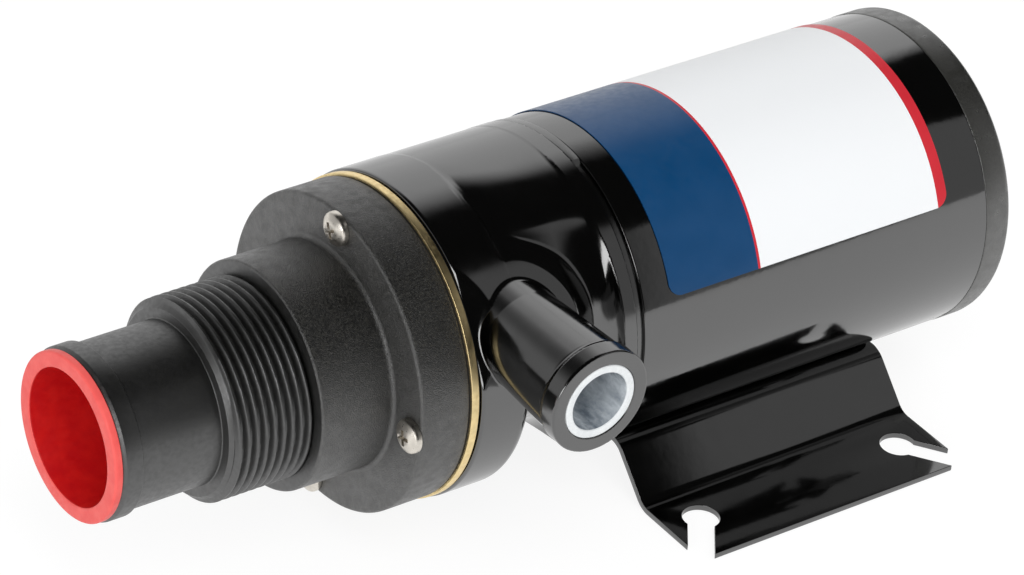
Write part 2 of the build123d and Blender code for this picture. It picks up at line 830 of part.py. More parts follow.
# Windings: a bundle in each slot and a ring of end turns on each side
winding_inner = 13.0
winding_outer = core_radius - 2.3
winding_chamfer = 2.5
with BuildPart() as windings:
    with BuildSketch(across(core_front)):
        with PolarLocations(slot_circle, core_slots):
            Circle(slot_radius - 0.1)
    extrude(amount=core_length)
    with BuildSketch(side) as end_turns:
        with Locations(
            (core_front - winding_overhang / 2, (winding_inner + winding_outer) / 2),
            (core_back + winding_overhang / 2, (winding_inner + winding_outer) / 2),
        ):
            Rectangle(winding_overhang - 0.2, winding_outer - winding_inner)
        chamfer(end_turns.vertices(), length=winding_chamfer)
    revolve(axis=pump_axis)
    with BuildSketch(across(core_front - 1.0)):
        with PolarLocations(slot_circle, core_slots):
            Circle(slot_radius - 0.1)
    extrude(amount=core_length + 2.0)
windings.part.label = "windings"
export_step(windings.part, "parts/windings.step")

with BuildPart() as commutator:
    with BuildSketch(across(commutator_front)):
        Circle(commutator_radius)
        Circle(spindle_radius + seat_gap, mode=Mode.SUBTRACT)
    extrude(amount=commutator_length)
    with BuildSketch(across(commutator_front)):
        Circle(riser_radius)
        Circle(spindle_radius + seat_gap, mode=Mode.SUBTRACT)
    extrude(amount=riser_length)
commutator.part.label = "commutator"
export_step(commutator.part, "parts/commutator.step")

# Brush gear: plate, two boxes, two brushes and their springs
brush_x = commutator_front + riser_length + 6.0
brush_along = 7.9
brush_across = 5.9
brush_length = 14.0
brush_face = commutator_radius + slide_gap
box_along = brush_along + 2 * slide_gap
box_across = brush_across + 2 * slide_gap
box_wall = 1.5
box_foot = riser_radius + 1.0
box_top = 33.5
box_inside_top = box_top - 1.0
box_back = brush_x + box_along / 2 + box_wall
brush_plate_thickness = 2.0
brush_plate_radius = case_bore - slide_gap

with BuildPart() as brush_plate:
    with BuildSketch(across(box_back)):
        Circle(brush_plate_radius)
        Circle(commutator_radius + 3, mode=Mode.SUBTRACT)
        with PolarLocations(through_bolt_circle, 2, start_angle=through_bolt_angle):
            Circle(through_bolt_radius + hole_gap, mode=Mode.SUBTRACT)
    extrude(amount=brush_plate_thickness)
brush_plate.part.label = "brush_plate"
export_step(brush_plate.part, "parts/brush_plate.step")

with BuildPart() as brush_boxes:
    for way in (1, -1):
        box_plane = Plane(
            origin=(brush_x, 0, axis_height + way * box_foot), x_dir=(1, 0, 0), z_dir=(0, 0, way)
        )
        with BuildSketch(box_plane):
            Rectangle(box_along + 2 * box_wall, box_across + 2 * box_wall)
        extrude(amount=box_top - box_foot)
        with BuildSketch(box_plane):
            Rectangle(box_along, box_across)
        extrude(amount=box_inside_top - box_foot, mode=Mode.SUBTRACT)
brush_boxes.part.label = "brush_boxes"
export_step(brush_boxes.part, "parts/brush_boxes.step")

with BuildPart() as brush_upper:
    with BuildSketch(Plane(origin=(brush_x, 0, axis_height), x_dir=(1, 0, 0), z_dir=(0, 0, 1))):
        Rectangle(brush_along, brush_across)
    extrude(amount=brush_face + brush_length)
    with BuildSketch(across(commutator_front)):
        Circle(brush_face)
    extrude(amount=commutator_length, mode=Mode.SUBTRACT)
brush_upper.part.label = "brush_upper"
export_step(brush_upper.part, "parts/brush_upper.step")

with BuildPart() as brush_lower:
    with BuildSketch(Plane(origin=(brush_x, 0, axis_height), x_dir=(1, 0, 0), z_dir=(0, 0, -1))):
        Rectangle(brush_along, brush_across)
    extrude(amount=brush_face + brush_length)
    with BuildSketch(across(commutator_front)):
        Circle(brush_face)
    extrude(amount=commutator_length, mode=Mode.SUBTRACT)
brush_lower.part.label = "brush_lower"
export_step(brush_lower.part, "parts/brush_lower.step")

spring_radius = 2.1
spring_wire = 0.3
spring_turns = 3
spring_start = brush_face + brush_length + spring_wire
spring_height = box_inside_top - spring_wire - spring_start

with BuildPart() as brush_spring_upper:
    with BuildLine() as upper_coil:
        Helix(
            pitch=spring_height / spring_turns,
            height=spring_height,
            radius=spring_radius,
            center=(brush_x, 0, axis_height + spring_start),
        )
    with BuildSketch(Plane(origin=upper_coil.line @ 0, x_dir=(1, 0, 0), z_dir=upper_coil.line % 0)):
        Rectangle(2 * spring_wire, 2 * spring_wire)
    sweep(is_frenet=True)
brush_spring_upper.part.label = "brush_spring_upper"
export_step(brush_spring_upper.part, "parts/brush_spring_upper.step")

with BuildPart() as brush_spring_lower:
    with BuildLine() as lower_coil:
        Helix(
            pitch=spring_height / spring_turns,
            height=spring_height,
            radius=spring_radius,
            center=(brush_x, 0, axis_height - spring_start - spring_height),
        )
    with BuildSketch(Plane(origin=lower_coil.line @ 0, x_dir=(1, 0, 0), z_dir=lower_coil.line % 0)):
        Rectangle(2 * spring_wire, 2 * spring_wire)
    sweep(is_frenet=True)
brush_spring_lower.part.label = "brush_spring_lower"
export_step(brush_spring_lower.part, "parts/brush_spring_lower.step")

# End cap with the pocket of the rear bearing
cap_rounding = 2.0
cap_wall = 3.0
cap_hub_radius = 14.0
cap_ring_inner = spigot_radius - 3.15
cap_inside = cap_back - cap_wall
ring_front = box_back + brush_plate_thickness
grommet_radius = 4.0
grommet_bore = 2.5
grommet_drop = 24.0

with BuildPart() as end_cap:
    with BuildSketch(side):
        with BuildLine():
            Polyline(
                (cap_back, 0),
                (cap_back, cap_radius),
                (cap_front, cap_radius),
                (cap_front, spigot_radius),
                (ring_front, spigot_radius),
                (ring_front, cap_ring_inner),
                (cap_inside, cap_ring_inner),
                (cap_inside, cap_hub_radius),
                (rear_bearing_front, cap_hub_radius),
                (rear_bearing_front, bearing_radius + seat_gap),
                (rear_bearing_back, bearing_radius + seat_gap),
                (rear_bearing_back, spindle_radius),
                (rear_bearing_back + 1.8, spindle_radius),
                (rear_bearing_back + 1.8, 0),
                close=True,
            )
        make_face()
    revolve(axis=pump_axis)
    cap_rim = end_cap.edges().filter_by(GeomType.CIRCLE).group_by(Axis.X)[-1]
    fillet(cap_rim, radius=cap_rounding)
    with BuildSketch(across(cap_back)):
        with PolarLocations(through_bolt_circle, 2, start_angle=through_bolt_angle):
            Circle(through_bolt_radius + hole_gap)
    extrude(amount=-(cap_back - ring_front), mode=Mode.SUBTRACT)
    with BuildSketch(across(cap_back)):
        with PolarLocations(through_bolt_circle, 2, start_angle=through_bolt_angle):
            Circle(through_bolt_head + hole_gap)
    extrude(amount=-bolt_sink, mode=Mode.SUBTRACT)
    with BuildSketch(across(cap_back, -grommet_drop)):
        Circle(grommet_radius + seat_gap)
    extrude(amount=-cap_wall, mode=Mode.SUBTRACT)
end_cap.part.label = "end_cap"
export_step(end_cap.part, "parts/end_cap.step")

# Rubber grommet where the motor leads leave
with BuildPart() as cable_grommet:
    with BuildSketch(across(cap_inside - 1.2, -grommet_drop)):
        Circle(grommet_radius + 1.5)
    extrude(amount=1.2 - seat_gap)
    with BuildSketch(across(cap_back + seat_gap, -grommet_drop)):
        Circle(grommet_radius + 1.5)
    extrude(amount=1.2)
    with BuildSketch(across(cap_inside - 1.2, -grommet_drop)):
        Circle(grommet_radius)
    extrude(amount=cap_wall + 2.4)
    with BuildSketch(across(cap_inside - 2, -grommet_drop)):
        Circle(grommet_bore)
    extrude(amount=cap_wall + 5, mode=Mode.SUBTRACT)
cable_grommet.part.label = "cable_grommet"
export_step(cable_grommet.part, "parts/cable_grommet.step")

# Long bolts that clamp the cap, the brush plate and the bell together
bolt_end = bell_front + 0.6
bolt_seat = cap_back - bolt_sink
with BuildPart() as through_bolts:
    with BuildSketch(across(bolt_end)):
        with PolarLocations(through_bolt_circle, 2, start_angle=through_bolt_angle):
            Circle(through_bolt_radius)
    extrude(amount=bolt_seat - bolt_end)
    with BuildSketch(across(bolt_seat)):
        with PolarLocations(through_bolt_circle, 2, start_angle=through_bolt_angle):
            Circle(through_bolt_head)
    extrude(amount=through_bolt_head_height)
    with BuildSketch(across(bolt_seat + through_bolt_head_height)):
        with PolarLocations(through_bolt_circle, 2, start_angle=through_bolt_angle):
            Rectangle(4.4, 1.0)
            Rectangle(1.0, 4.4)
    extrude(amount=-1.3, mode=Mode.SUBTRACT)
through_bolts.part.label = "through_bolts"
export_step(through_bolts.part, "parts/through_bolts.step")

# Base bracket: one bent sheet with a saddle, two slopes and two feet
sheet = 1.5
bracket_length = 79.1
foot_edge = 59.3
foot_corner = 1.5
saddle_half_angle = 26
slope_reach = 36.0
keyhole_spacing_x = 60.0
keyhole_spacing_y = 92.4
keyhole_radius = 4.5
keyhole_slot_width = 6.3
keyhole_slot_angle = 53.0
bend_radius = 5.6
saddle_radius = case_radius + seat_gap + sheet / 2
foot_level = -axis_height + sheet / 2
saddle_end_y = saddle_radius * sin(radians(saddle_half_angle))
saddle_end_z = -saddle_radius * cos(radians(saddle_half_angle))
rise = tan(radians(saddle_half_angle))
crest_y = (foot_level + slope_reach - saddle_end_z + rise * saddle_end_y) / (1 + rise)
crest_z = foot_level + slope_reach - crest_y

with BuildPart() as base_bracket:
    with BuildSketch(across(-bracket_length / 2)):
        with BuildLine() as sheet_line:
            CenterArc((0, 0), saddle_radius, -90 - saddle_half_angle, 2 * saddle_half_angle)
            FilletPolyline(
                (saddle_end_y, saddle_end_z),
                (crest_y, crest_z),
                (slope_reach, foot_level),
                (foot_edge + 2, foot_level),
                radius=bend_radius,
            )
            FilletPolyline(
                (-saddle_end_y, saddle_end_z),
                (-crest_y, crest_z),
                (-slope_reach, foot_level),
                (-foot_edge - 2, foot_level),
                radius=bend_radius,
            )
            offset(amount=sheet / 2, side=Side.BOTH, mode=Mode.REPLACE)
        make_face()
    extrude(amount=bracket_length)
    with BuildSketch(Plane.XY):
        RectangleRounded(bracket_length, 2 * foot_edge, foot_corner)
    extrude(amount=axis_height, mode=Mode.INTERSECT)
    with BuildSketch(Plane.XY):
        for way_x in (1, -1):
            for way_y in (1, -1):
                turn = keyhole_slot_angle * way_x * way_y + (0 if way_x > 0 else 180)
                with Locations(Location((way_x * keyhole_spacing_x / 2, way_y * keyhole_spacing_y / 2), turn)):
                    Circle(keyhole_radius)
                    Rectangle(30, keyhole_slot_width, align=(Align.MIN, Align.CENTER))
    extrude(amount=sheet + 1, mode=Mode.SUBTRACT)
    with BuildSketch(Plane.XY):
        with GridLocations(bracket_screw_spacing, 0, 2, 1):
            Circle(bracket_screw_radius + hole_gap)
    extrude(amount=axis_height / 2, mode=Mode.SUBTRACT)
base_bracket.part.label = "base_bracket"
export_step(base_bracket.part, "parts/base_bracket.step")

# Screws from under the saddle into the wall of the case
bracket_head = 3.6
bracket_head_height = 2.0
saddle_bottom = axis_height - case_radius - seat_gap - sheet
with BuildPart() as bracket_screws:
    with BuildSketch(Plane(origin=(0, 0, saddle_bottom - seat_gap), x_dir=(1, 0, 0), z_dir=(0, 0, 1))):
        with GridLocations(bracket_screw_spacing, 0, 2, 1):
            Circle(bracket_screw_radius)
    extrude(amount=sheet + case_wall + 0.8)
    with BuildSketch(Plane(origin=(0, 0, saddle_bottom - seat_gap), x_dir=(1, 0, 0), z_dir=(0, 0, 1))):
        with GridLocations(bracket_screw_spacing, 0, 2, 1):
            Circle(bracket_head)
    extrude(amount=-bracket_head_height)
    with BuildSketch(Plane(origin=(0, 0, saddle_bottom - bracket_head_height), x_dir=(1, 0, 0), z_dir=(0, 0, 1))):
        with GridLocations(bracket_screw_spacing, 0, 2, 1):
            Rectangle(4.2, 0.9)
            Rectangle(0.9, 4.2)
    extrude(amount=1.0, mode=Mode.SUBTRACT)
bracket_screws.part.label = "bracket_screws"
export_step(bracket_screws.part, "parts/bracket_screws.step")
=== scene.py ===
import math

import bmesh
import bpy
import numpy as np
from mathutils import Matrix, Vector


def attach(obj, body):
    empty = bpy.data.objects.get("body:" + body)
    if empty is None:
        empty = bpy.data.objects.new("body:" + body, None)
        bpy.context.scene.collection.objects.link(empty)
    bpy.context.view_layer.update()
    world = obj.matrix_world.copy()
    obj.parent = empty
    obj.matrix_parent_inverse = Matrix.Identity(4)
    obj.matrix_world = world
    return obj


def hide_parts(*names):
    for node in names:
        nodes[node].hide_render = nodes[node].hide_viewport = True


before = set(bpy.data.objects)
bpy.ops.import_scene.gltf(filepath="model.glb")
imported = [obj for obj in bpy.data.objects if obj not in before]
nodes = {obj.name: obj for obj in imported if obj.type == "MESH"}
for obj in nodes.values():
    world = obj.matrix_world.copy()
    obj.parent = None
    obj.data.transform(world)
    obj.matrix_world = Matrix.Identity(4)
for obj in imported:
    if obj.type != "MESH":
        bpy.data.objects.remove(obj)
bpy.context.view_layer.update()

# Lengths are in millimetres, and MM turns them into Blender's metres. X runs along the pump axis from
# the inlet to the motor end, the outlet points to -Y, and Z is the height above the feet.
MM = 0.001
PUMP = "pump"

AXIS_HEIGHT = 46.0
# Lengths of the parts that stand in one line
PLUG_LIP = 2.0
TAIL_LENGTH = 26.0
THREAD_LENGTH = 21.3
COLLAR_LENGTH = 19.2
FLANGE_THICKNESS = 12.8
GASKET_THICKNESS = 0.5
PLATE_THICKNESS = 2.0
HOUSING_LENGTH = 43.4
BAND_LENGTH = 2.5
CASE_LENGTH = 102.3
CAP_LENGTH = 7.8

# Where each of them starts along the axis
PLUG_FRONT = -177.3
TAIL_FRONT = PLUG_FRONT + PLUG_LIP
THREAD_FRONT = TAIL_FRONT + TAIL_LENGTH
COLLAR_FRONT = THREAD_FRONT + THREAD_LENGTH
FLANGE_FRONT = COLLAR_FRONT + COLLAR_LENGTH
COVER_BACK = FLANGE_FRONT + FLANGE_THICKNESS
PLATE_FRONT = COVER_BACK + GASKET_THICKNESS
PLATE_BACK = PLATE_FRONT + PLATE_THICKNESS
HOUSING_FRONT = PLATE_BACK + GASKET_THICKNESS
BELL_FRONT = HOUSING_FRONT + HOUSING_LENGTH
CASE_FRONT = BELL_FRONT + BAND_LENGTH
CAP_FRONT = CASE_FRONT + CASE_LENGTH
CAP_BACK = CAP_FRONT + CAP_LENGTH

# Radii of the round parts
HOUSING_RADIUS = 39.0
FLANGE_RADIUS = HOUSING_RADIUS - 0.9
PLATE_RADIUS = HOUSING_RADIUS - 0.4
BAND_RADIUS = HOUSING_RADIUS - 1.1
CASE_RADIUS = 38.7
CASE_BORE = CASE_RADIUS - 2.0
CAP_RADIUS = CASE_RADIUS + 0.1
SPIGOT_RADIUS = CASE_BORE - 0.05
TAIL_BORE = 17.2
BEARING_SEAT = 11.01
SCREW_HOLE = 2.15

# Degrees from which a corner of a piece stays sharp
SHARP = 35.0

# The outlet: its place along the axis, its height above it and how far it reaches to the side
PORT_X = -79.7
PORT_LIFT = 16.1
PORT_END = 63.1
PORT_MOUTH = 9.45

# The four cover screws
COVER_SCREW_CIRCLE = 34.6
COVER_SCREW_ANGLES = (1.6, 91.6, 181.6, 271.6)


# Meshes


def tidy_mesh(mesh, weld=1e-7):
    """Welds doubled points and turns all faces outwards."""
    bm = bmesh.new()
    bm.from_mesh(mesh)
    bmesh.ops.remove_doubles(bm, verts=bm.verts, dist=weld)
    bmesh.ops.dissolve_degenerate(bm, edges=bm.edges, dist=weld)
    bmesh.ops.recalc_face_normals(bm, faces=bm.faces)
    bm.to_mesh(mesh)
    bm.free()


def mesh_object(name, verts, faces):
    """A mesh object from points in millimetres. Cutters are made with this alone."""
    mesh = bpy.data.meshes.new(name)
    mesh.from_pydata([(x * MM, y * MM, z * MM) for x, y, z in verts], [], faces)
    mesh.validate()
    tidy_mesh(mesh)
    obj = bpy.data.objects.new(name, mesh)
    bpy.context.scene.collection.objects.link(obj)
    return obj


def smooth(obj, sharp):
    """Makes an object smooth except at corners sharper than the angle in degrees."""
    obj.data.shade_smooth()
    obj.data.set_sharp_from_angle(angle=math.radians(sharp))


def new_piece(name, verts, faces, body=PUMP, sharp=SHARP):
    """A visible piece, which moves with a body."""
    obj = mesh_object(name, verts, faces)
    smooth(obj, sharp)
    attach(obj, body)
    return obj


def dress(obj, *materials):
    """Gives an object its materials."""
    obj.data.materials.clear()
    for material in materials:
        obj.data.materials.append(material)
    return obj


def use_second_material(piece, where):
    """Gives its second material to the faces whose middle, in millimetres, passes a test."""
    for polygon in piece.data.polygons:
        if where(*(polygon.center / MM)):
            polygon.material_index = 1


def on_circle(radius, degrees):
    """The y and z of a point on a circle round the pump axis, counted from the far side upwards."""
    angle = math.radians(degrees)
    return radius * math.cos(angle), AXIS_HEIGHT + radius * math.sin(angle)


def round_corners(points, steps=5):
    """A closed outline of (x, r) or (x, r, fillet) points with its corners rounded by the fillets."""
    made = []
    count = len(points)
    for index, point in enumerate(points):
        here = np.array(point[:2], float)
        fillet = point[2] if len(point) > 2 else 0.0
        if fillet <= 0:
            made.append(tuple(here))
            continue
        before = np.array(points[index - 1][:2], float) - here
        after = np.array(points[(index + 1) % count][:2], float) - here
        before /= np.linalg.norm(before)
        after /= np.linalg.norm(after)
        half = math.acos(max(-1.0, min(1.0, float(before @ after)))) / 2
        reach = fillet / math.tan(half)
        middle = before + after
        centre = here + middle / np.linalg.norm(middle) * fillet / math.sin(half)
        first = here + before * reach - centre
        last = here + after * reach - centre
        crosswise = np.array((-first[1], first[0]))
        turn = math.atan2(float(crosswise @ last), float(first @ last))
        for step in range(steps + 1):
            angle = turn * step / steps
            made.append(tuple(centre + math.cos(angle) * first + math.sin(angle) * crosswise))
    return made


def thick_sheet(columns):
    """Points and faces of a sheet, from columns that hold a row of points for each of its two sides."""
    verts = [point for column in columns for row in column for point in row]
    n = len(columns[0][0])
    faces = []
    for i in range(len(columns) - 1):
        here, there = 2 * n * i, 2 * n * (i + 1)
        for k in range(n - 1):
            faces.append((here + k, there + k, there + k + 1, here + k + 1))
            faces.append((here + n + k, here + n + k + 1, there + n + k + 1, there + n + k))
        faces.append((here, here + n, there + n, there))
        faces.append((here + n - 1, there + n - 1, there + 2 * n - 1, here + 2 * n - 1))
    last = 2 * n * (len(columns) - 1)
    for k in range(n - 1):
        faces.append((k, k + 1, n + k + 1, n + k))
        faces.append((last + k, last + n + k, last + n + k + 1, last + k + 1))
    return verts, faces


def lathe(name, outline, body=PUMP, segments=192, centre=(0.0, AXIS_HEIGHT), swell=None, sharp=SHARP):
    """Turns a closed (x, r) outline round a line along X. swell(x, r, angle) may change the radius."""
    verts = []
    faces = []
    rings = []
    for x, r in outline:
        if r < 1e-6:
            rings.append([len(verts)])
            verts.append((x, centre[0], centre[1]))
            continue
        ring = []
        for k in range(segments):
            angle = 2 * math.pi * k / segments
            radius = swell(x, r, angle) if swell else r
            ring.append(len(verts))
            verts.append((x, centre[0] + radius * math.cos(angle), centre[1] + radius * math.sin(angle)))
        rings.append(ring)
    for index, ring in enumerate(rings):
        other = rings[(index + 1) % len(rings)]
        if len(ring) == 1 and len(other) == 1:
            continue
        for k in range(segments):
            after = (k + 1) % segments
            if len(ring) == 1:
                faces.append((ring[0], other[after], other[k]))
            elif len(other) == 1:
                faces.append((ring[k], ring[after], other[0]))
            else:
                faces.append((ring[k], ring[after], other[after], other[k]))
    return new_piece(name, verts, faces, body, sharp)


def apply_modifiers(obj):
    """Writes the result of an object's modifiers into its mesh."""
    bpy.context.view_layer.update()
    graph = bpy.context.evaluated_depsgraph_get()
    made = bpy.data.meshes.new_from_object(obj.evaluated_get(graph))
    obj.modifiers.clear()
    old = obj.data
    obj.data = made
    bpy.data.meshes.remove(old)


def cut(obj, *cutters):
    """Cuts the cutters out of obj and removes them."""
    for cutter in cutters:
        modifier = obj.modifiers.new("cut", "BOOLEAN")
        modifier.operation = "DIFFERENCE"
        modifier.solver = "EXACT"
        modifier.object = cutter
    apply_modifiers(obj)
    for cutter in cutters:
        bpy.data.objects.remove(cutter)
    obj.data.set_sharp_from_angle(angle=math.radians(SHARP))


def rod(start, end, radius, segments=32):
    """A closed cylinder between two points, for cutting."""
    start, end = Vector(start), Vector(end)
    along = (end - start).normalized()
    side = along.orthogonal().normalized()
    other = along.cross(side)
    verts = []
    for point in (start, end):
        for k in range(segments):
            angle = 2 * math.pi * k / segments
            verts.append(tuple(point + side * radius * math.cos(angle) + other * radius * math.sin(angle)))
    faces = [(k, (k + 1) % segments, segments + (k + 1) % segments, segments + k) for k in range(segments)]
    faces.append(tuple(reversed(range(segments))))
    faces.append(tuple(range(segments, 2 * segments)))
    return mesh_object("rod", verts, faces)


def cover_screw_holes(front, back):
    """Cutters for the holes of the cover screws between two places along the axis."""
    made = []
    for degrees in COVER_SCREW_ANGLES:
        y, z = on_circle(COVER_SCREW_CIRCLE, degrees)
        made.append(rod((front - 1, y, z), (back + 1, y, z), SCREW_HOLE))
    return made


# Camera

# The point that the camera looks at, and how far away it is
VIEW_AIM = (-49.88, 8.03, 40.0)
VIEW_DISTANCE = 1207.97
# Degrees round Z, upwards and of lean to one side
VIEW_TURN = -39.4165
VIEW_RISE = 33.909
VIEW_ROLL = 6.3482
FOCAL_LENGTH = 181.43


def turned(degrees, axis):
    """A turn round one axis, as a matrix."""
    return Matrix.Rotation(math.radians(degrees), 4, axis)


def place_camera():
    """The camera of the photograph, worked out from the round parts and the feet."""
    data = bpy.data.cameras.new("camera")
    data.sensor_width = 36.0
    data.lens = FOCAL_LENGTH
    data.clip_start = 0.05
    data.clip_end = 20.0
    camera = bpy.data.objects.new("camera", data)
    bpy.context.scene.collection.objects.link(camera)
    aim = Matrix.Translation(Vector(VIEW_AIM) * MM)
    heading = turned(VIEW_TURN, "Z") @ turned(90 - VIEW_RISE, "X") @ turned(VIEW_ROLL, "Z")
    camera.matrix_world = aim @ heading @ Matrix.Translation((0, 0, VIEW_DISTANCE * MM))
    bpy.context.scene.camera = camera


place_camera()


# Materials

# Noise mostly stays between these two values
NOISE_LOW = 0.3
NOISE_HIGH = 0.7


def srgb(r, g, b):
    """An 8-bit screen colour as the linear value that a shader wants."""
    return tuple((c / 255 / 12.92) if c <= 10 else ((c / 255 + 0.055) / 1.055) ** 2.4 for c in (r, g, b))


def add_node(tree, kind, **values):
    """Adds a node to a tree, with the given settings."""
    made = tree.nodes.new(kind)
    for key, value in values.items():
        setattr(made, key, value)
    return made


def set_inputs(node, **values):
    """Sets the sockets of a node by their names, with _ for a space."""
    for key, value in values.items():
        node.inputs[key.replace("_", " ")].default_value = value


class Shader:
    """Builds one node material. Textures use the object's own coordinates, in metres."""

    def __init__(self, name, color, rough, metallic=0.0, **sockets):
        self.material = bpy.data.materials.new(name)
        self.material.use_nodes = True
        self.tree = self.material.node_tree
        self.tree.nodes.clear()
        self.out = self.tree.nodes.new("ShaderNodeOutputMaterial")
        self.bsdf = self.tree.nodes.new("ShaderNodeBsdfPrincipled")
        self.link(self.bsdf.outputs[0], self.out.inputs[0])
        set_inputs(self.bsdf, Base_Color=(*color, 1.0), Roughness=rough, Metallic=metallic, **sockets)
        self.place = self.tree.nodes.new("ShaderNodeTexCoord").outputs["Object"]
        self.bump_end = None

    def link(self, source, target):
        self.tree.links.new(source, target)

    def node(self, kind, **values):
        return add_node(self.tree, kind, **values)

    def noise(self, scale, detail=2.0, roughness=0.5, stretch=(1, 1, 1)):
        made = self.node("ShaderNodeTexNoise")
        set_inputs(made, Scale=scale, Detail=detail, Roughness=roughness)
        source = self.place
        if stretch != (1, 1, 1):
            mapping = self.node("ShaderNodeMapping")
            set_inputs(mapping, Scale=stretch)
            self.link(source, mapping.inputs[0])
            source = mapping.outputs[0]
        self.link(source, made.inputs["Vector"])
        return made.outputs["Fac"]

    def spread(self, value, low=NOISE_LOW, high=NOISE_HIGH, out_low=0.0, out_high=1.0):
        made = self.node("ShaderNodeMapRange")
        set_inputs(made, From_Min=low, From_Max=high, To_Min=out_low, To_Max=out_high)
        self.link(value, made.inputs["Value"])
        return made.outputs["Result"]

    def times(self, one, two):
        made = self.node("ShaderNodeMath", operation="MULTIPLY")
        self.link(one, made.inputs[0])
        self.link(two, made.inputs[1])
        return made.outputs[0]

    def coordinate(self, letter):
        made = self.node("ShaderNodeSeparateXYZ")
        self.link(self.place, made.inputs[0])
        return made.outputs[letter]

    def mix_color(self, factor, one, two):
        made = self.node("ShaderNodeMix", data_type="RGBA")
        self.link(factor, made.inputs[0])
        made.inputs[6].default_value = (*one, 1.0)
        made.inputs[7].default_value = (*two, 1.0)
        self.link(made.outputs[2], self.bsdf.inputs["Base Color"])

    def rough(self, value, least, most, high=NOISE_HIGH):
        self.link(self.spread(value, NOISE_LOW, high, least, most), self.bsdf.inputs["Roughness"])

    def bump(self, height, strength, depth):
        """Adds a bump over those before it. Its depth is in millimetres."""
        made = self.node("ShaderNodeBump")
        set_inputs(made, Strength=strength, Distance=depth * MM)
        self.link(height, made.inputs["Height"])
        if self.bump_end is not None:
            self.link(self.bump_end, made.inputs["Normal"])
        self.bump_end = made.outputs[0]
        self.link(self.bump_end, self.bsdf.inputs["Normal"])


def grained_plastic(name, dark, light, rough, grain=0.55, ior=1.5):
    """Moulded plastic with a fine cast grain."""
    look = Shader(name, dark, rough, IOR=ior)
    speckle = look.noise(scale=1900, detail=3.0, roughness=0.65)
    patch = look.noise(scale=420)
    look.mix_color(look.spread(speckle, 0.42, 0.66), dark, light)
    look.rough(patch, rough - 0.08, rough + 0.1)
    look.bump(look.noise(scale=4600, detail=1.0), strength=grain, depth=0.16)
    look.bump(patch, strength=grain * 0.25, depth=0.25)
    return look.material


def satin_plastic(name, dark, light, rough, ior=1.5):
    """Smooth moulded plastic with faint flow marks."""
    look = Shader(name, dark, rough, IOR=ior)
    look.mix_color(look.spread(look.noise(scale=260, detail=3.0, roughness=0.55), 0.35), dark, light)
    look.rough(look.noise(scale=900), rough - 0.06, rough + 0.08)
    look.bump(look.noise(scale=2300, detail=1.0), strength=0.12, depth=0.1)
    return look.material


GLOSS_BLACK = (0.0007, 0.0007, 0.0006)
SEAM_HALF_WIDTH = 0.11
SEAM_FADES_IN = (72.5, 76.5)


def gloss_black(name, rough, peel, scale, seam=None):
    """Black gloss with a slight orange peel, and a fine moulding seam across X above the axis."""
    look = Shader(name, GLOSS_BLACK, rough, IOR=2.2)
    look.rough(look.noise(scale=170, detail=3.0, roughness=0.6), rough * 0.75, rough * 1.5, high=0.75)
    look.bump(look.noise(scale=scale), strength=peel, depth=0.12)
    if seam is not None:
        at_seam = look.node("ShaderNodeMath", operation="COMPARE")
        look.link(look.coordinate("X"), at_seam.inputs[0])
        at_seam.inputs[1].default_value = seam * MM
        at_seam.inputs[2].default_value = SEAM_HALF_WIDTH * MM
        high = look.spread(look.coordinate("Z"), SEAM_FADES_IN[0] * MM, SEAM_FADES_IN[1] * MM)
        look.bump(look.times(at_seam.outputs[0], high), strength=0.9, depth=0.12)
    return look.material


def metal(name, color, rough, grain=1400, stretch=(1, 1, 1), bump=0.08):
    """Bare metal with fine machining grain."""
    look = Shader(name, color, rough, metallic=1.0)
    fine = look.noise(grain, roughness=0.6, stretch=stretch)
    coarse = look.noise(grain * 0.35, roughness=0.6)
    look.rough(fine, rough * 0.75, rough * 1.35)
    look.mix_color(look.spread(coarse), tuple(0.82 * c for c in color), color)
    look.bump(fine, strength=bump, depth=0.05)
    return look.material


def rubber(name, color):
    """Matt rubber."""
    look = Shader(name, color, 0.75, Specular_IOR_Level=0.35)
    look.rough(look.noise(scale=700), 0.65, 0.85)
    look.bump(look.noise(scale=1600), strength=0.15, depth=0.1)
    return look.material


def label_film(name, color, lift=1.05):
    """Plastic film of the label in one colour."""
    rough = 0.34
    look = Shader(name, color, rough, Specular_IOR_Level=0.4)
    lighter = tuple(min(1.0, lift * c + 0.003) for c in color)
    look.mix_color(look.spread(look.noise(scale=150)), color, lighter)
    look.rough(look.noise(scale=600), rough - 0.05, rough + 0.06)
    look.bump(look.noise(scale=500, detail=1.0), strength=0.03, depth=0.1)
    return look.material


def milky_plastic(name, dark, light, stretch=(1, 1, 1)):
    """Whitish plastic with soft clouds. Stretched clouds are painted reflection streaks."""
    look = Shader(name, light, 0.3, IOR=1.46)
    clouds = look.noise(scale=170, detail=3.0, roughness=0.6, stretch=stretch)
    look.mix_color(look.spread(clouds), dark, light)
    look.rough(look.noise(scale=800), 0.2, 0.34)
    look.bump(look.noise(scale=1200, detail=1.0), strength=0.06, depth=0.1)
    return look.material


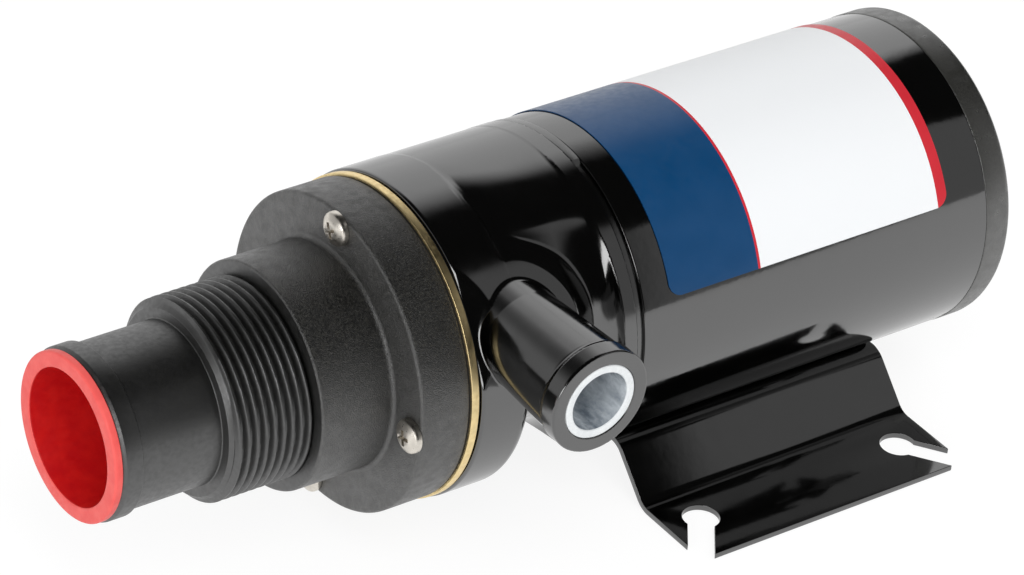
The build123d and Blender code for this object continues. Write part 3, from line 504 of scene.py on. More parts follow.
COVER = grained_plastic("cover_grained_plastic", srgb(9, 9, 8), srgb(46, 45, 40), 0.42, grain=1.0, ior=2.1)
TAIL = satin_plastic("tail_satin_plastic", srgb(12, 12, 11), srgb(20, 20, 18), 0.44, ior=2.1)
RED = satin_plastic("red_plug_plastic", srgb(190, 16, 22), srgb(204, 28, 26), 0.34)
RED_LIP = satin_plastic("red_plug_lip", srgb(232, 84, 80), srgb(240, 98, 92), 0.5)
HOUSING = gloss_black("housing_gloss_plastic", rough=0.12, peel=0.10, scale=160, seam=PORT_X)
CASE = gloss_black("case_gloss_paint", rough=0.08, peel=0.10, scale=420)
BELL = gloss_black("bell_gloss_paint", rough=0.2, peel=0.15, scale=420)
BRACKET = gloss_black("bracket_gloss_paint", rough=0.1, peel=0.12, scale=300)
CAP = grained_plastic("cap_grained_coating", srgb(38, 38, 35), srgb(52, 52, 48), 0.34, grain=0.4, ior=2.2)
GOLD = metal("wear_plate_brass", srgb(252, 228, 172), 0.42, grain=900)
BRASS = metal("brass", srgb(214, 170, 92), 0.3)
STEEL = metal("screw_steel", srgb(226, 220, 210), 0.34)
STAINLESS = metal("stainless_steel", srgb(188, 188, 190), 0.3)
GROUND = metal("bearing_steel", srgb(205, 205, 208), 0.16)
LAMINATED = metal("core_laminations", srgb(120, 122, 126), 0.42, grain=2600, stretch=(6, 0.4, 0.4), bump=0.25)
COPPER = metal("enamelled_copper", srgb(190, 104, 62), 0.32, grain=1800, stretch=(0.5, 3, 3), bump=0.3)
FERRITE = grained_plastic("ferrite", srgb(52, 52, 54), srgb(66, 66, 68), 0.6)
PHENOLIC = satin_plastic("phenolic_board", srgb(122, 82, 48), srgb(140, 98, 60), 0.5)
CARBON = satin_plastic("brush_carbon", srgb(46, 46, 47), srgb(60, 60, 62), 0.55)
GASKET = rubber("gasket_rubber", (0.012, 0.012, 0.012))
SOFT = rubber("impeller_rubber", srgb(44, 44, 45))
BLUE = label_film("label_blue", srgb(0, 64, 110))
LABEL_RED = label_film("label_red", srgb(204, 36, 50))
WHITE = label_film("label_white", srgb(244, 246, 248), lift=1.0)
WHITE_PLUG = milky_plastic("white_plug_plastic", srgb(222, 226, 228), srgb(236, 239, 240))
# Inside of the white plug: painted shade, a darker bluish grey than the outside, with painted reflection
# streaks in the stretched clouds
PLUG_INSIDE_PAINTED_SHADE = milky_plastic("white_plug_inside_painted_shade", srgb(96, 106, 116), srgb(206, 212, 217), (1.6, 0.5, 1.2))

# Every node of the frame has its material, also where a piece below stands for it
NODE_MATERIALS = (
    (GASKET, "cover_gasket housing_gasket cable_grommet"),
    (SOFT, "shaft_seal slinger impeller"),
    (BRASS, "impeller_insert brush_boxes"),
    (COPPER, "commutator windings"),
    (STAINLESS, "motor_shaft chopper_plate chopper_washer chopper_nut drive_pin"),
    (GROUND, "front_bearing rear_bearing"),
    (FERRITE, "magnets"),
    (LAMINATED, "armature_core"),
    (PHENOLIC, "brush_plate"),
    (CARBON, "brush_upper brush_lower"),
    (STEEL, "brush_spring_upper brush_spring_lower cover_screws"),
    (STEEL, "housing_screws through_bolts bracket_screws"),
    (RED, "inlet_plug"),
    (COVER, "inlet_cover"),
    (GOLD, "wear_plate"),
    (HOUSING, "pump_housing"),
    (WHITE_PLUG, "outlet_plug"),
    (BELL, "end_bell"),
    (CASE, "motor_case"),
    (WHITE, "label"),
    (CAP, "end_cap"),
    (BRACKET, "base_bracket"),
)
for node_material, node_names in NODE_MATERIALS:
    for node_name in node_names.split():
        smooth(dress(nodes[node_name], node_material), 30)


# Inlet side


def inlet_plug():
    """The red plug: a lip in front of the hose tail and a cup inside it."""
    depth, floor = 18.0, 2.0
    lip_radius, mouth, cup = 19.9, 16.1, 15.6
    body_radius = TAIL_BORE - 0.05
    plug_back = TAIL_FRONT + depth
    outline = round_corners([
        (PLUG_FRONT, mouth, 0.5), (PLUG_FRONT, lip_radius, 0.6),
        (TAIL_FRONT, lip_radius, 0.3), (TAIL_FRONT, body_radius),
        (plug_back, body_radius, 1.0), (plug_back, 0.0),
        (plug_back - floor, 0.0), (plug_back - floor, cup, 1.5),
    ])
    piece = dress(lathe("red_inlet_plug", outline, "inlet_plug"), RED, RED_LIP)

    def on_lip(x, y, z):
        return x < TAIL_FRONT + 0.1 and math.hypot(y, z - AXIS_HEIGHT) > mouth + 0.1

    use_second_material(piece, on_lip)
    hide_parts("inlet_plug")


# The inlet thread, a right-hand pipe thread of 11 turns to the inch
THREAD_ROOT = 22.6
THREAD_CREST = 24.0
THREAD_PITCH = 2.309
THREAD_START = -149.64


def thread_height(x, angle):
    """How far the thread stands over its root at a point, in millimetres."""
    turn = (x - THREAD_START) / THREAD_PITCH - angle / (2 * math.pi)
    from_crest = abs((turn % 1.0) - 0.5) * 2
    ridge = min(1.0, max(0.0, (0.9 - from_crest) / 0.75))
    ridge = 0.4 * ridge + 0.6 * ridge * ridge * (3 - 2 * ridge)
    fade_in = min(1.0, max(0.0, (x - THREAD_FRONT - 0.9) / 0.5))
    fade_out = min(1.0, max(0.0, (COLLAR_FRONT - x) / 0.4))
    return (THREAD_CREST - THREAD_ROOT) * ridge * fade_in * fade_out


def inlet_cover():
    """Hose tail, thread, collar and flange in one moulding."""
    tail_radius, bead_radius, collar_radius = 19.4, 20.3, 27.2
    throat, knife_chamber = 16.0, 23.5
    bead_end = TAIL_FRONT + 5.0
    bore_end = TAIL_FRONT + 20.0
    chamber_front = COVER_BACK - 28.0
    cone_front = chamber_front - 7.0
    rows = []
    x = THREAD_FRONT + 1.1
    row_step = 0.14
    while x < COLLAR_FRONT - 0.05:
        rows.append((x, THREAD_ROOT))
        x += row_step
    outline = round_corners([
        (TAIL_FRONT, TAIL_BORE), (TAIL_FRONT, tail_radius + 0.1, 0.3),
        (TAIL_FRONT + 0.9, bead_radius, 0.5), (bead_end, bead_radius, 0.25),
        (bead_end + 0.5, tail_radius, 0.3), (THREAD_FRONT, tail_radius, 0.3),
        (THREAD_FRONT, THREAD_ROOT - 0.7, 0.2), (THREAD_FRONT + 0.9, THREAD_ROOT + 0.1),
    ]) + rows + round_corners([
        (COLLAR_FRONT, THREAD_ROOT), (COLLAR_FRONT, collar_radius, 0.7),
        (FLANGE_FRONT, collar_radius, 1.2), (FLANGE_FRONT, FLANGE_RADIUS, 0.9),
        (COVER_BACK, FLANGE_RADIUS, 0.3), (COVER_BACK, knife_chamber),
        (chamber_front, knife_chamber), (cone_front, throat),
        (bore_end, throat), (bore_end, TAIL_BORE),
    ])

    def swell(x, r, angle):
        if abs(r - THREAD_ROOT) < 1e-9 and THREAD_FRONT + 1.0 < x < COLLAR_FRONT:
            return r + thread_height(x, angle)
        return r

    piece = lathe("inlet_cover_body", outline, swell=swell, sharp=50.0)
    cut(piece, *cover_screw_holes(FLANGE_FRONT, COVER_BACK))
    dress(piece, COVER, TAIL)
    use_second_material(piece, lambda x, y, z: x < COLLAR_FRONT + 0.02)
    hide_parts("inlet_cover")


def cross_recess(head_height):
    """The two cutters of a cross recess, each a blade that narrows towards its point."""
    face = (-head_height - 0.5, 2.268, 0.5)
    point = (-head_height + 1.5, 1.155, 0.34)
    faces = [(0, 1, 2, 3), (7, 6, 5, 4), (0, 4, 5, 1), (1, 5, 6, 2), (2, 6, 7, 3), (3, 7, 4, 0)]
    blades = []
    for spin in (0.0, math.pi / 2):
        cos, sin = math.cos(spin), math.sin(spin)
        verts = []
        for x, long, wide in (face, point):
            for a, b in ((long, wide), (-long, wide), (-long, -wide), (long, -wide)):
                verts.append((x, a * cos - b * sin, a * sin + b * cos))
        blades.append(mesh_object("blade", verts, faces))
    return blades


def pan_screw():
    """A screw with its seat at x = 0, its domed head towards -X and a cross recess."""
    head_radius, head_height = 4.1, 2.6
    shank_radius, shank_length = 2.0, 26.0
    outline = round_corners([
        (shank_length, 0.0), (shank_length, shank_radius - 0.4),
        (shank_length - 0.6, shank_radius), (0.0, shank_radius),
        (0.0, head_radius, 0.12),
        (-0.55 * head_height, head_radius, 0.25 * head_radius),
        (-head_height, head_radius * 0.52, 0.5 * head_radius), (-head_height, 0.0),
    ])
    screw = lathe("screw", outline, segments=64, centre=(0.0, 0.0))
    for blade in cross_recess(head_height):
        cut(screw, blade)
    return screw


def cover_screws():
    """Four domed screws, each left at its own turn, joined into one piece."""
    bpy.ops.object.select_all(action="DESELECT")
    for degrees, spin in zip(COVER_SCREW_ANGLES, (18, 64, -12, 40)):
        screw = pan_screw()
        place = Matrix.Translation(Vector((FLANGE_FRONT, *on_circle(COVER_SCREW_CIRCLE, degrees))) * MM)
        screw.data.transform(place @ turned(spin, "X"))
        screw.select_set(True)
        bpy.context.view_layer.objects.active = screw
    bpy.ops.object.join()
    screw.name = screw.data.name = "cover_pan_screws"
    piece = dress(screw, STEEL)
    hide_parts("cover_screws")


def curved_slot(front, back, inner, outer, middle, half):
    """Cutter of a slot bent round the axis, from middle - half to middle + half degrees."""
    turns = np.linspace(middle - half, middle + half, 25)
    columns = [[[(x, *on_circle(r, turn)) for turn in turns] for r in (inner, outer)] for x in (front, back)]
    return mesh_object("slot", *thick_sheet(columns))


def wear_plate():
    """The gold coloured plate, with two slots that let the waste through."""
    shaft_hole = 5.0
    piece = lathe("wear_plate_ring", round_corners([
        (PLATE_FRONT, shaft_hole), (PLATE_FRONT, PLATE_RADIUS, 0.25),
        (PLATE_BACK, PLATE_RADIUS, 0.25), (PLATE_BACK, shaft_hole),
    ]))
    slots = [curved_slot(PLATE_FRONT - 1, PLATE_BACK + 1, 11.0, 18.0, side, 50) for side in (0, 180)]
    cut(piece, *slots, *cover_screw_holes(PLATE_FRONT, PLATE_BACK))
    dress(piece, GOLD)
    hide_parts("wear_plate")


# Pump housing

# The housing is worked as a distance field, so that its forms run into each other as in a moulding.
# In the field, z counts from the pump axis, and reach is the way to -Y.
DRUM_LENGTH = 14.5
RIM_LENGTH = 2.9
WAIST_RADIUS = 36.0
WAIST_OFFSET = 7.3
WAIST_AWAY = (0.656, 0.755)
FLARE_LENGTH = 11.5
TUBE_RADIUS = 11.2
END_BAND_RADIUS = 13.0
END_BAND_LENGTH = 5.2


def smooth_min(a, b, blend):
    """The smaller of two fields, with a rounded inner corner where they meet."""
    share = np.clip(0.5 + 0.5 * (b - a) / blend, 0.0, 1.0)
    return b + (a - b) * share - blend * share * (1.0 - share)


def smooth_max(a, b, blend):
    """The larger of two fields, with a rounded outer corner where they meet."""
    return -smooth_min(-a, -b, blend)


def disc_field(along, across, start, end, radius, edge):
    """Distance to a disc between two places along its axis, with rounded rims."""
    past_side = across - (radius - edge)
    past_end = np.abs(along - (start + end) / 2) - ((end - start) / 2 - edge)
    outside = np.hypot(np.maximum(past_side, 0), np.maximum(past_end, 0))
    return outside + np.minimum(np.maximum(past_side, past_end), 0) - edge


def waist_field(x, y, z, radial):
    """The waist, a circle set off to the far side, which flares out to the rear rim."""
    near_rim = np.clip((x - (BELL_FRONT - RIM_LENGTH - FLARE_LENGTH)) / FLARE_LENGTH, 0.0, 1.0)
    flare = np.minimum((1.0 - np.sqrt(1.0 - 0.985 * near_rim * near_rim)) / 0.8775, 1.0)
    offset = WAIST_OFFSET * (1.0 - flare)
    rise = np.degrees(np.arctan2(z, -y))
    shoulder = 1.4 * np.exp(-(((rise - 61.0) / 8.0) ** 2)) * (1.0 - flare)
    taper = 0.004 * np.clip(BELL_FRONT - 7.0 - x, 0.0, 22.0) ** 2 - shoulder
    radius = WAIST_RADIUS + (HOUSING_RADIUS - WAIST_RADIUS) * flare - taper
    waist = np.hypot(y - WAIST_AWAY[0] * offset, z - WAIST_AWAY[1] * offset) - radius
    waist = smooth_max(waist * 0.85, radial - (HOUSING_RADIUS - 0.1), 1.2)
    return np.maximum(waist, np.maximum(HOUSING_FRONT + 6.0 - x, x - (BELL_FRONT - 1.0)))


def boss_field(reach, radial, from_port):
    """The raised root of the outlet, with a wall that leans out towards the waist."""
    depth = np.clip(HOUSING_RADIUS - radial, 0.0, 6.0)
    wall = (from_port - 14.6 - 1.5 * depth) * 0.55
    boss = smooth_max(wall, radial - HOUSING_RADIUS, 0.35)
    return np.maximum(boss, -reach)


def tube_field(reach, from_port):
    """The outlet tube, which widens a little towards its end."""
    radius = TUBE_RADIUS + 1.2 * np.clip((reach - 34.0) / 23.0, 0.0, 1.0)
    return np.maximum(from_port - radius, np.maximum(reach - (PORT_END - 1.0), 15.0 - reach))


def flats(x, y, z, body):
    """Cuts the flat that slants off the front edge beside the port, and the one under the rear rim."""
    lean = math.radians(33)
    outward = -y * math.cos(lean) + z * math.sin(lean)
    slant = math.atan2(3.3, 7.0)
    beside_port = (outward - 35.7) * math.cos(slant) - (x - HOUSING_FRONT + 1.0) * math.sin(slant)
    under_rim = np.minimum(-33.0 - z, x - (BELL_FRONT - 18.0))
    return smooth_max(smooth_max(body, beside_port, 0.4), under_rim, 0.6)


def hollows(x, y, z, radial, reach, from_port):
    """What is cut out of the housing, each with the rounding of its edge."""
    chamber = disc_field(x, np.hypot(y, z - 1.5), HOUSING_FRONT - 10, HOUSING_FRONT + 22.7, 26.0, 0.3)
    passage = np.maximum(from_port - 8.5, np.abs(reach - 40.0) - 28.0)
    mouth = np.maximum(from_port - PORT_MOUTH, PORT_END - 16.0 - reach)
    room = disc_field(x, np.hypot(y, z - 3.0), HOUSING_FRONT + 26.7, BELL_FRONT + 10, 25.0, 0.3)
    post = disc_field(x, radial, HOUSING_FRONT + 20, HOUSING_FRONT + 32.7, 14.0, 0.3)
    seal_seat = disc_field(x, radial, HOUSING_FRONT + 10, HOUSING_FRONT + 30.7, 11.0, 0.1)
    shaft_hole = np.maximum(radial - 9.0, np.abs(x - (HOUSING_FRONT + 30)) - 10)
    drain_x = x - (BELL_FRONT - 15.4)
    drain_y = np.maximum(np.abs(y) - 3.0, 0.0)
    drain = np.maximum(np.hypot(drain_x, drain_y) - 4.0, z + 20.0)
    front = ((chamber, 0.0), (passage, 0.0), (mouth, 0.3))
    return (*front, (np.maximum(room, -post), 0.0), (seal_seat, 0.0), (shaft_hole, 0.0), (drain, 0.4))


def housing_field(x, y, z):
    """Signed distance to the pump housing, about, in millimetres."""
    radial = np.hypot(y, z)
    reach = -y
    from_port = np.hypot(x - PORT_X, z - PORT_LIFT)
    drum = disc_field(x, radial, HOUSING_FRONT - 20, HOUSING_FRONT + DRUM_LENGTH, HOUSING_RADIUS, 3.0)
    rim = disc_field(x, radial, BELL_FRONT - RIM_LENGTH, BELL_FRONT, HOUSING_RADIUS, 0.5)
    body = smooth_min(drum, waist_field(x, y, z, radial), 0.7)
    body = smooth_min(body, boss_field(reach, radial, from_port), 0.6)
    body = smooth_min(body, rim, 2.6)
    body = np.maximum(body, radial - HOUSING_RADIUS)
    body = flats(x, y, z, body)
    body = smooth_min(body, tube_field(reach, from_port), 0.6)
    band_radius = END_BAND_RADIUS - 0.6 * np.clip((PORT_END - 4.5 - reach) / 0.7, 0.0, 1.0)
    end_band = disc_field(reach, from_port, PORT_END - END_BAND_LENGTH, PORT_END, band_radius, 0.45)
    body = smooth_min(body, end_band, 0.6)
    body = smooth_max(body, HOUSING_FRONT - x, 0.9)
    for hollow, edge in hollows(x, y, z, radial, reach, from_port):
        body = smooth_max(body, -hollow, edge) if edge else np.maximum(body, -hollow)
    return body


def surface_net(field, low, step):
    """Points and quads of the zero surface of a field sampled on a grid."""
    counts = np.array(field.shape) - 1
    total = np.zeros((*counts, 3))
    number = np.zeros(counts)
    inside = field < 0
    quads = []
    strides = np.array([counts[1] * counts[2], counts[2], 1])
    for axis in range(3):
        low_side = [slice(None)] * 3
        high_side = [slice(None)] * 3
        low_side[axis], high_side[axis] = slice(0, -1), slice(1, None)
        low_field, high_field = field[tuple(low_side)], field[tuple(high_side)]
        crossing = np.argwhere(inside[tuple(low_side)] != inside[tuple(high_side)])
        low_value = low_field[tuple(crossing.T)]
        high_value = high_field[tuple(crossing.T)]
        place = crossing.astype(float)
        place[:, axis] += low_value / (low_value - high_value)
        second, third = (axis + 1) % 3, (axis + 2) % 3
        corner_cells = []
        usable = np.ones(len(crossing), bool)
        for back_second, back_third in ((0, 0), (1, 0), (1, 1), (0, 1)):
            cell = crossing.copy()
            cell[:, second] -= back_second
            cell[:, third] -= back_third
            good = np.all((cell >= 0) & (cell < counts), axis=1)
            key = tuple(cell[good].T)
            np.add.at(total, key, place[good])
            np.add.at(number, key, 1)
            corner_cells.append(cell @ strides)
            usable &= good
        around = np.stack(corner_cells, axis=1)[usable]
        flip = (low_value > high_value)[usable]
        around[flip] = around[flip][:, ::-1]
        quads.append(around)
    used = np.flatnonzero(number.ravel())
    points = total.reshape(-1, 3)[used] / number.ravel()[used][:, None]
    index = np.full(number.size, -1)
    index[used] = np.arange(len(used))
    return low + points * step, index[np.concatenate(quads)]


def field_slopes(function, points, delta):
    """How fast a field grows along x, y and z at each point."""
    slopes = np.empty_like(points)
    for axis in range(3):
        move = np.zeros(3)
        move[axis] = delta
        slopes[:, axis] = (function(*(points + move).T) - function(*(points - move).T)) / (2 * delta)
    return slopes


def pull_to_surface(function, points, rounds=3, longest=0.25):
    """Moves points onto the zero surface of a field, no further than the longest step each round."""
    for _ in range(rounds):
        slopes = field_slopes(function, points, 0.02)
        size = np.maximum((slopes ** 2).sum(1), 1e-6)
        move = slopes * (function(*points.T) / size)[:, None]
        length = np.linalg.norm(move, axis=1, keepdims=True)
        points -= move * np.minimum(1.0, longest / np.maximum(length, 1e-9))


def pump_housing():
    """Drum, outlet, waist and rim in one moulding, from the distance field."""
    margin, step = 1.2, 0.42
    low = np.array([HOUSING_FRONT - 1.0, -PORT_END - 1.5, -HOUSING_RADIUS - margin])
    high = np.array([BELL_FRONT + margin, HOUSING_RADIUS + margin, HOUSING_RADIUS + margin])
    counts = np.ceil((high - low) / step).astype(int) + 1
    axes = [low[i] + step * np.arange(counts[i]) for i in range(3)]
    field = housing_field(*np.meshgrid(*axes, indexing="ij"))
    points, quads = surface_net(field, low, step)
    pull_to_surface(housing_field, points)
    normals = field_slopes(housing_field, points, 0.08)
    normals /= np.linalg.norm(normals, axis=1, keepdims=True)
    mesh = bpy.data.meshes.new("pump_housing_body")
    placed = (points + (0, 0, AXIS_HEIGHT)) * MM
    mesh.from_pydata(placed.tolist(), [], quads.tolist())
    mesh.update()
    mesh.shade_smooth()
    mesh.normals_split_custom_set_from_vertices(normals.tolist())
    piece = bpy.data.objects.new("pump_housing_body", mesh)
    bpy.context.scene.collection.objects.link(piece)
    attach(piece, PUMP)
    dress(piece, HOUSING)
    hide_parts("pump_housing")


def outlet_plug():
    """The white plug, a cup that stands open in the mouth of the outlet."""
    depth, floor, bore = 15.0, 2.0, 7.4
    radius = PORT_MOUTH - 0.05
    outline = round_corners([
        (0.0, bore, 0.4), (0.0, radius, 0.4),
        (depth, radius, 0.8), (depth, 0.0),
        (depth - floor, 0.0), (depth - floor, bore - 0.2, 1.2),
    ])
    piece = lathe("white_outlet_plug", outline, "outlet_plug", segments=96, centre=(0.0, 0.0))
    dress(piece, WHITE_PLUG, PLUG_INSIDE_PAINTED_SHADE)
    # The faces inside the cup take the material with painted shade and painted reflection streaks
    use_second_material(piece, lambda x, y, z: 0.6 < x < depth - 1.0 and math.hypot(y, z) < bore + 0.1)
    place = Matrix.Translation(Vector((PORT_X, -PORT_END, AXIS_HEIGHT + PORT_LIFT)) * MM)
    piece.data.transform(place @ turned(90, "Z"))
    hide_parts("outlet_plug")


# Motor


def end_bell():
    """The narrow band in front of the motor with its raised tab, and the bearing pocket inside."""
    pocket_front, pocket_wall, pocket_radius = BELL_FRONT - 6.5, 1.5, 15.0
    shaft_hole, spigot_length, spigot_bore = 5.5, 6.0, 35.05
    inner_face = CASE_FRONT + 1.5
    outline = round_corners([
        (pocket_front, shaft_hole), (pocket_front, pocket_radius, 0.5),
        (BELL_FRONT, pocket_radius), (BELL_FRONT, BAND_RADIUS, 0.35),
        (CASE_FRONT, BAND_RADIUS, 0.2), (CASE_FRONT, SPIGOT_RADIUS),
        (CASE_FRONT + spigot_length, SPIGOT_RADIUS),
        (CASE_FRONT + spigot_length, spigot_bore), (inner_face, spigot_bore),
        (inner_face, BEARING_SEAT), (pocket_front + pocket_wall, BEARING_SEAT),
        (pocket_front + pocket_wall, shaft_hole),
    ])
    tab_start, tab_end, tab_ramp = math.radians(43), math.radians(103), math.radians(2)
    tab_height = 1.0

    def swell(x, r, angle):
        if r < BAND_RADIUS - 0.7 or not tab_start < angle < tab_end:
            return r
        rise = min((angle - tab_start) / tab_ramp, (tab_end - angle) / tab_ramp, 1.0)
        return r + tab_height * rise * rise * (3 - 2 * rise)

    piece = dress(lathe("end_bell_body", outline, swell=swell, segments=360), BELL)
    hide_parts("end_bell")


BRACKET_SCREW_PLACES = (-25.0, 25.0)


def motor_case():
    """The black tube, with two holes for the bracket screws."""
    outline = round_corners([
        (CASE_FRONT, CASE_BORE), (CASE_FRONT, CASE_RADIUS, 0.35),
        (CAP_FRONT, CASE_RADIUS, 0.25), (CAP_FRONT, CASE_BORE),
    ])
    piece = dress(lathe("motor_case_tube", outline, segments=256), CASE)
    cut(piece, *[rod((x, 0, 0), (x, 0, AXIS_HEIGHT - 30), 2.01) for x in BRACKET_SCREW_PLACES])
    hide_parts("motor_case")


# The label: its ends along the case, its edges round it in degrees, and the limits of its colours
LABEL_FRONT = CASE_FRONT + 7.7
LABEL_BACK = LABEL_FRONT + 82.6
LABEL_START = 21.6
LABEL_END = 158.4
LABEL_CORNER = 3.4
LABEL_UNDERSIDE = CASE_RADIUS + 0.08
LABEL_TOP = CASE_RADIUS + 0.32
BLUE_END = LABEL_FRONT + 25.8
RED_LINE_HALF = 0.35
RED_BAND = 3.0


def label_places(start, end):
    """Places along the label where its mesh has points, close together in its corners."""
    places = set(np.linspace(start, end, max(2, int((end - start) / 4) + 2)).tolist())
    steps = 12
    for label_edge, inward in ((LABEL_FRONT, 1), (LABEL_BACK, -1)):
        for k in range(steps + 1):
            x = label_edge + inward * LABEL_CORNER * (1 - math.cos(math.radians(90 * k / steps)))
            if start - 1e-9 <= x <= end + 1e-9:
                places.add(x)
    return sorted(places)


def corner_inset(x):
    """How many degrees the label's edge draws in at a place along it, for its round corners."""
    from_end = min(x - LABEL_FRONT, LABEL_BACK - x)
    if from_end >= LABEL_CORNER:
        return 0.0
    inset = LABEL_CORNER - math.sqrt(max(0.0, LABEL_CORNER**2 - (LABEL_CORNER - from_end) ** 2))
    return math.degrees(inset / (CASE_RADIUS + 0.2))


def label_zone(name, start, end, material):
    """One colour area of the label, with the label's round corners where it reaches an end."""
    columns = []
    for x in label_places(start, end):
        inset = corner_inset(x)
        turns = np.linspace(LABEL_START + inset, LABEL_END - inset, 181)
        radii = (LABEL_UNDERSIDE, LABEL_TOP)
        columns.append([[(x, *on_circle(radius, turn)) for turn in turns] for radius in radii])
    piece = dress(new_piece(name, *thick_sheet(columns)), material)
    return piece


def label():
    """The label as plain colour areas: blue, a thin red line, white and a red band."""
    line_start, line_end = BLUE_END - RED_LINE_HALF, BLUE_END + RED_LINE_HALF
    band_start = LABEL_BACK - RED_BAND
    blue_area = label_zone("label_blue_area", LABEL_FRONT, line_start, BLUE)
    label_zone("label_thin_line", line_start, line_end, LABEL_RED)
    label_zone("label_white_area", line_end, band_start, WHITE)
    label_zone("label_red_band", band_start, LABEL_BACK, LABEL_RED)
    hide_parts("label")


def end_cap():
    """The grey cap, with its bearing seat and the holes for the grommet and two through bolts."""
    spigot_front, spigot_bore = CAP_FRONT - 11.8, 33.5
    inner_face, boss_front, boss_radius = CAP_BACK - 3.0, CAP_BACK - 12.5, 14.0
    seat_end, relief_end, relief_radius = CAP_BACK - 5.5, CAP_BACK - 3.7, 6.0
    outline = round_corners([
        (CAP_BACK, 0.0), (CAP_BACK, CAP_RADIUS, 2.0),
        (CAP_FRONT, CAP_RADIUS, 0.35), (CAP_FRONT, SPIGOT_RADIUS),
        (spigot_front, SPIGOT_RADIUS), (spigot_front, spigot_bore),
        (inner_face, spigot_bore), (inner_face, boss_radius),
        (boss_front, boss_radius), (boss_front, BEARING_SEAT),
        (seat_end, BEARING_SEAT), (seat_end, relief_radius),
        (relief_end, relief_radius), (relief_end, 0.0),
    ])
    piece = lathe("end_cap_body", outline, segments=256)
    outside = CAP_BACK + 7
    grommet_height = AXIS_HEIGHT - 24
    cutters = [rod((50, 0, grommet_height), (outside, 0, grommet_height), 4.01, 48)]
    for degrees in (72, 252):
        y, z = on_circle(32.6, degrees)
        cutters.append(rod((40, y, z), (outside, y, z), SCREW_HOLE))
        cutters.append(rod((CAP_BACK - 1.4, y, z), (outside, y, z), 3.75, 48))
    cut(piece, *cutters)
    dress(piece, CAP)
    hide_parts("end_cap")


# Bracket

SHEET = 1.5
FOOT_EDGE = 59.3
BRACKET_LENGTH = 79.1


def bracket_line():
    """Middle line of the sheet, right half, from the saddle to the foot, as (y, z from the axis)."""
    saddle = CASE_RADIUS + 0.01 + SHEET / 2
    saddle_half = math.radians(26)
    foot = -AXIS_HEIGHT + SHEET / 2
    slope_end = 36.0
    bend = 5.6
    start = (saddle * math.sin(saddle_half), -saddle * math.cos(saddle_half))
    # The crest is where the line that leaves the saddle meets the slope of 45 degrees to the foot
    rise = math.tan(saddle_half)
    crest_y = (foot + slope_end - start[1] + rise * start[0]) / (1 + rise)
    crest = (crest_y, foot + slope_end - crest_y, bend)
    arc = [(saddle * math.sin(a), -saddle * math.cos(a)) for a in np.linspace(0, saddle_half, 26)]
    return arc[:-1] + round_corners([start, crest, (slope_end, foot, bend), (FOOT_EDGE, foot)], steps=16)


def base_bracket():
    """The pressed sheet: saddle, ribs, slopes and feet with their four keyholes."""
    right = bracket_line()
    line = np.array([(-y, z) for y, z in reversed(right[1:])] + right)
    ahead = np.gradient(line, axis=0)
    ahead /= np.linalg.norm(ahead, axis=1, keepdims=True)
    normal = np.stack([-ahead[:, 1], ahead[:, 0]], axis=1)
    sides = (line + normal * SHEET / 2, line - normal * SHEET / 2)
    ends = (-BRACKET_LENGTH / 2, BRACKET_LENGTH / 2)
    columns = [[[(x, y, z + AXIS_HEIGHT) for y, z in side] for side in sides] for x in ends]
    piece = new_piece("base_bracket_sheet", *thick_sheet(columns), sharp=40)
    keyholes = [keyhole(x_side, y_side) for x_side in (1, -1) for y_side in (1, -1)]
    cut(piece, *keyholes, *[rod((x, 0, 0), (x, 0, 20), SCREW_HOLE) for x in BRACKET_SCREW_PLACES])
    bevel = piece.modifiers.new("bevel", "BEVEL")
    bevel.width = 0.5 * MM
    bevel.segments = 3
    bevel.limit_method = "ANGLE"
    bevel.angle_limit = math.radians(50)
    bevel.harden_normals = False
    apply_modifiers(piece)
    smooth(piece, 50)
    dress(piece, BRACKET)
    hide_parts("base_bracket")


def keyhole(x_side, y_side):
    """Cutter of one keyhole: a circle with a slot that leaves through the corner of the foot."""
    centre_x, centre_y = x_side * 30.0, y_side * 46.2
    radius, slot_half, slot_length = 4.5, 3.15, 30.0
    turn = math.radians(53)
    cos, sin = x_side * math.cos(turn), y_side * math.sin(turn)
    opening = math.asin(slot_half / radius)
    angles = np.linspace(opening, 2 * math.pi - opening, 49)
    outline = [(radius * math.cos(angle), radius * math.sin(angle)) for angle in angles]
    outline += [(slot_length, -slot_half), (slot_length, slot_half)]
    verts = []
    for z in (-2.0, 3.5):
        verts += [(centre_x + a * cos - b * sin, centre_y + a * sin + b * cos, z) for a, b in outline]
    n = len(outline)
    faces = [tuple(range(n)), tuple(reversed(range(n, 2 * n)))]
    faces += [(k, (k + 1) % n, n + (k + 1) % n, n + k) for k in range(n)]
    return mesh_object("keyhole", verts, faces)


# Floor and light


def stage_material(name, color):
    """Nearly white to the camera and in reflections, with a faint shadow, and matt to soft light."""
    look = Shader(name, color, 1.0, Specular_IOR_Level=0.0)
    lighter = tuple(min(1.0, c * 1.01) for c in color)
    look.mix_color(look.spread(look.noise(scale=3)), color, lighter)
    glow = look.node("ShaderNodeEmission")
    set_inputs(glow, Strength=0.86)
    shadow_taker = look.node("ShaderNodeBsdfDiffuse")
    set_inputs(shadow_taker, Color=(0.2, 0.2, 0.2, 1.0))
    both = look.node("ShaderNodeAddShader")
    look.link(glow.outputs[0], both.inputs[0])
    look.link(shadow_taker.outputs[0], both.inputs[1])
    path = look.node("ShaderNodeLightPath")
    seen = path.outputs["Is Camera Ray"]
    for kind in ("Is Glossy Ray", "Is Transmission Ray"):
        either = look.node("ShaderNodeMath", operation="MAXIMUM")
        look.link(seen, either.inputs[0])
        look.link(path.outputs[kind], either.inputs[1])
        seen = either.outputs[0]
    mix = look.node("ShaderNodeMixShader")
    look.link(seen, mix.inputs[0])
    look.link(look.bsdf.outputs[0], mix.inputs[1])
    look.link(both.outputs[0], mix.inputs[2])
    look.link(mix.outputs[0], look.out.inputs[0])
    return look.material


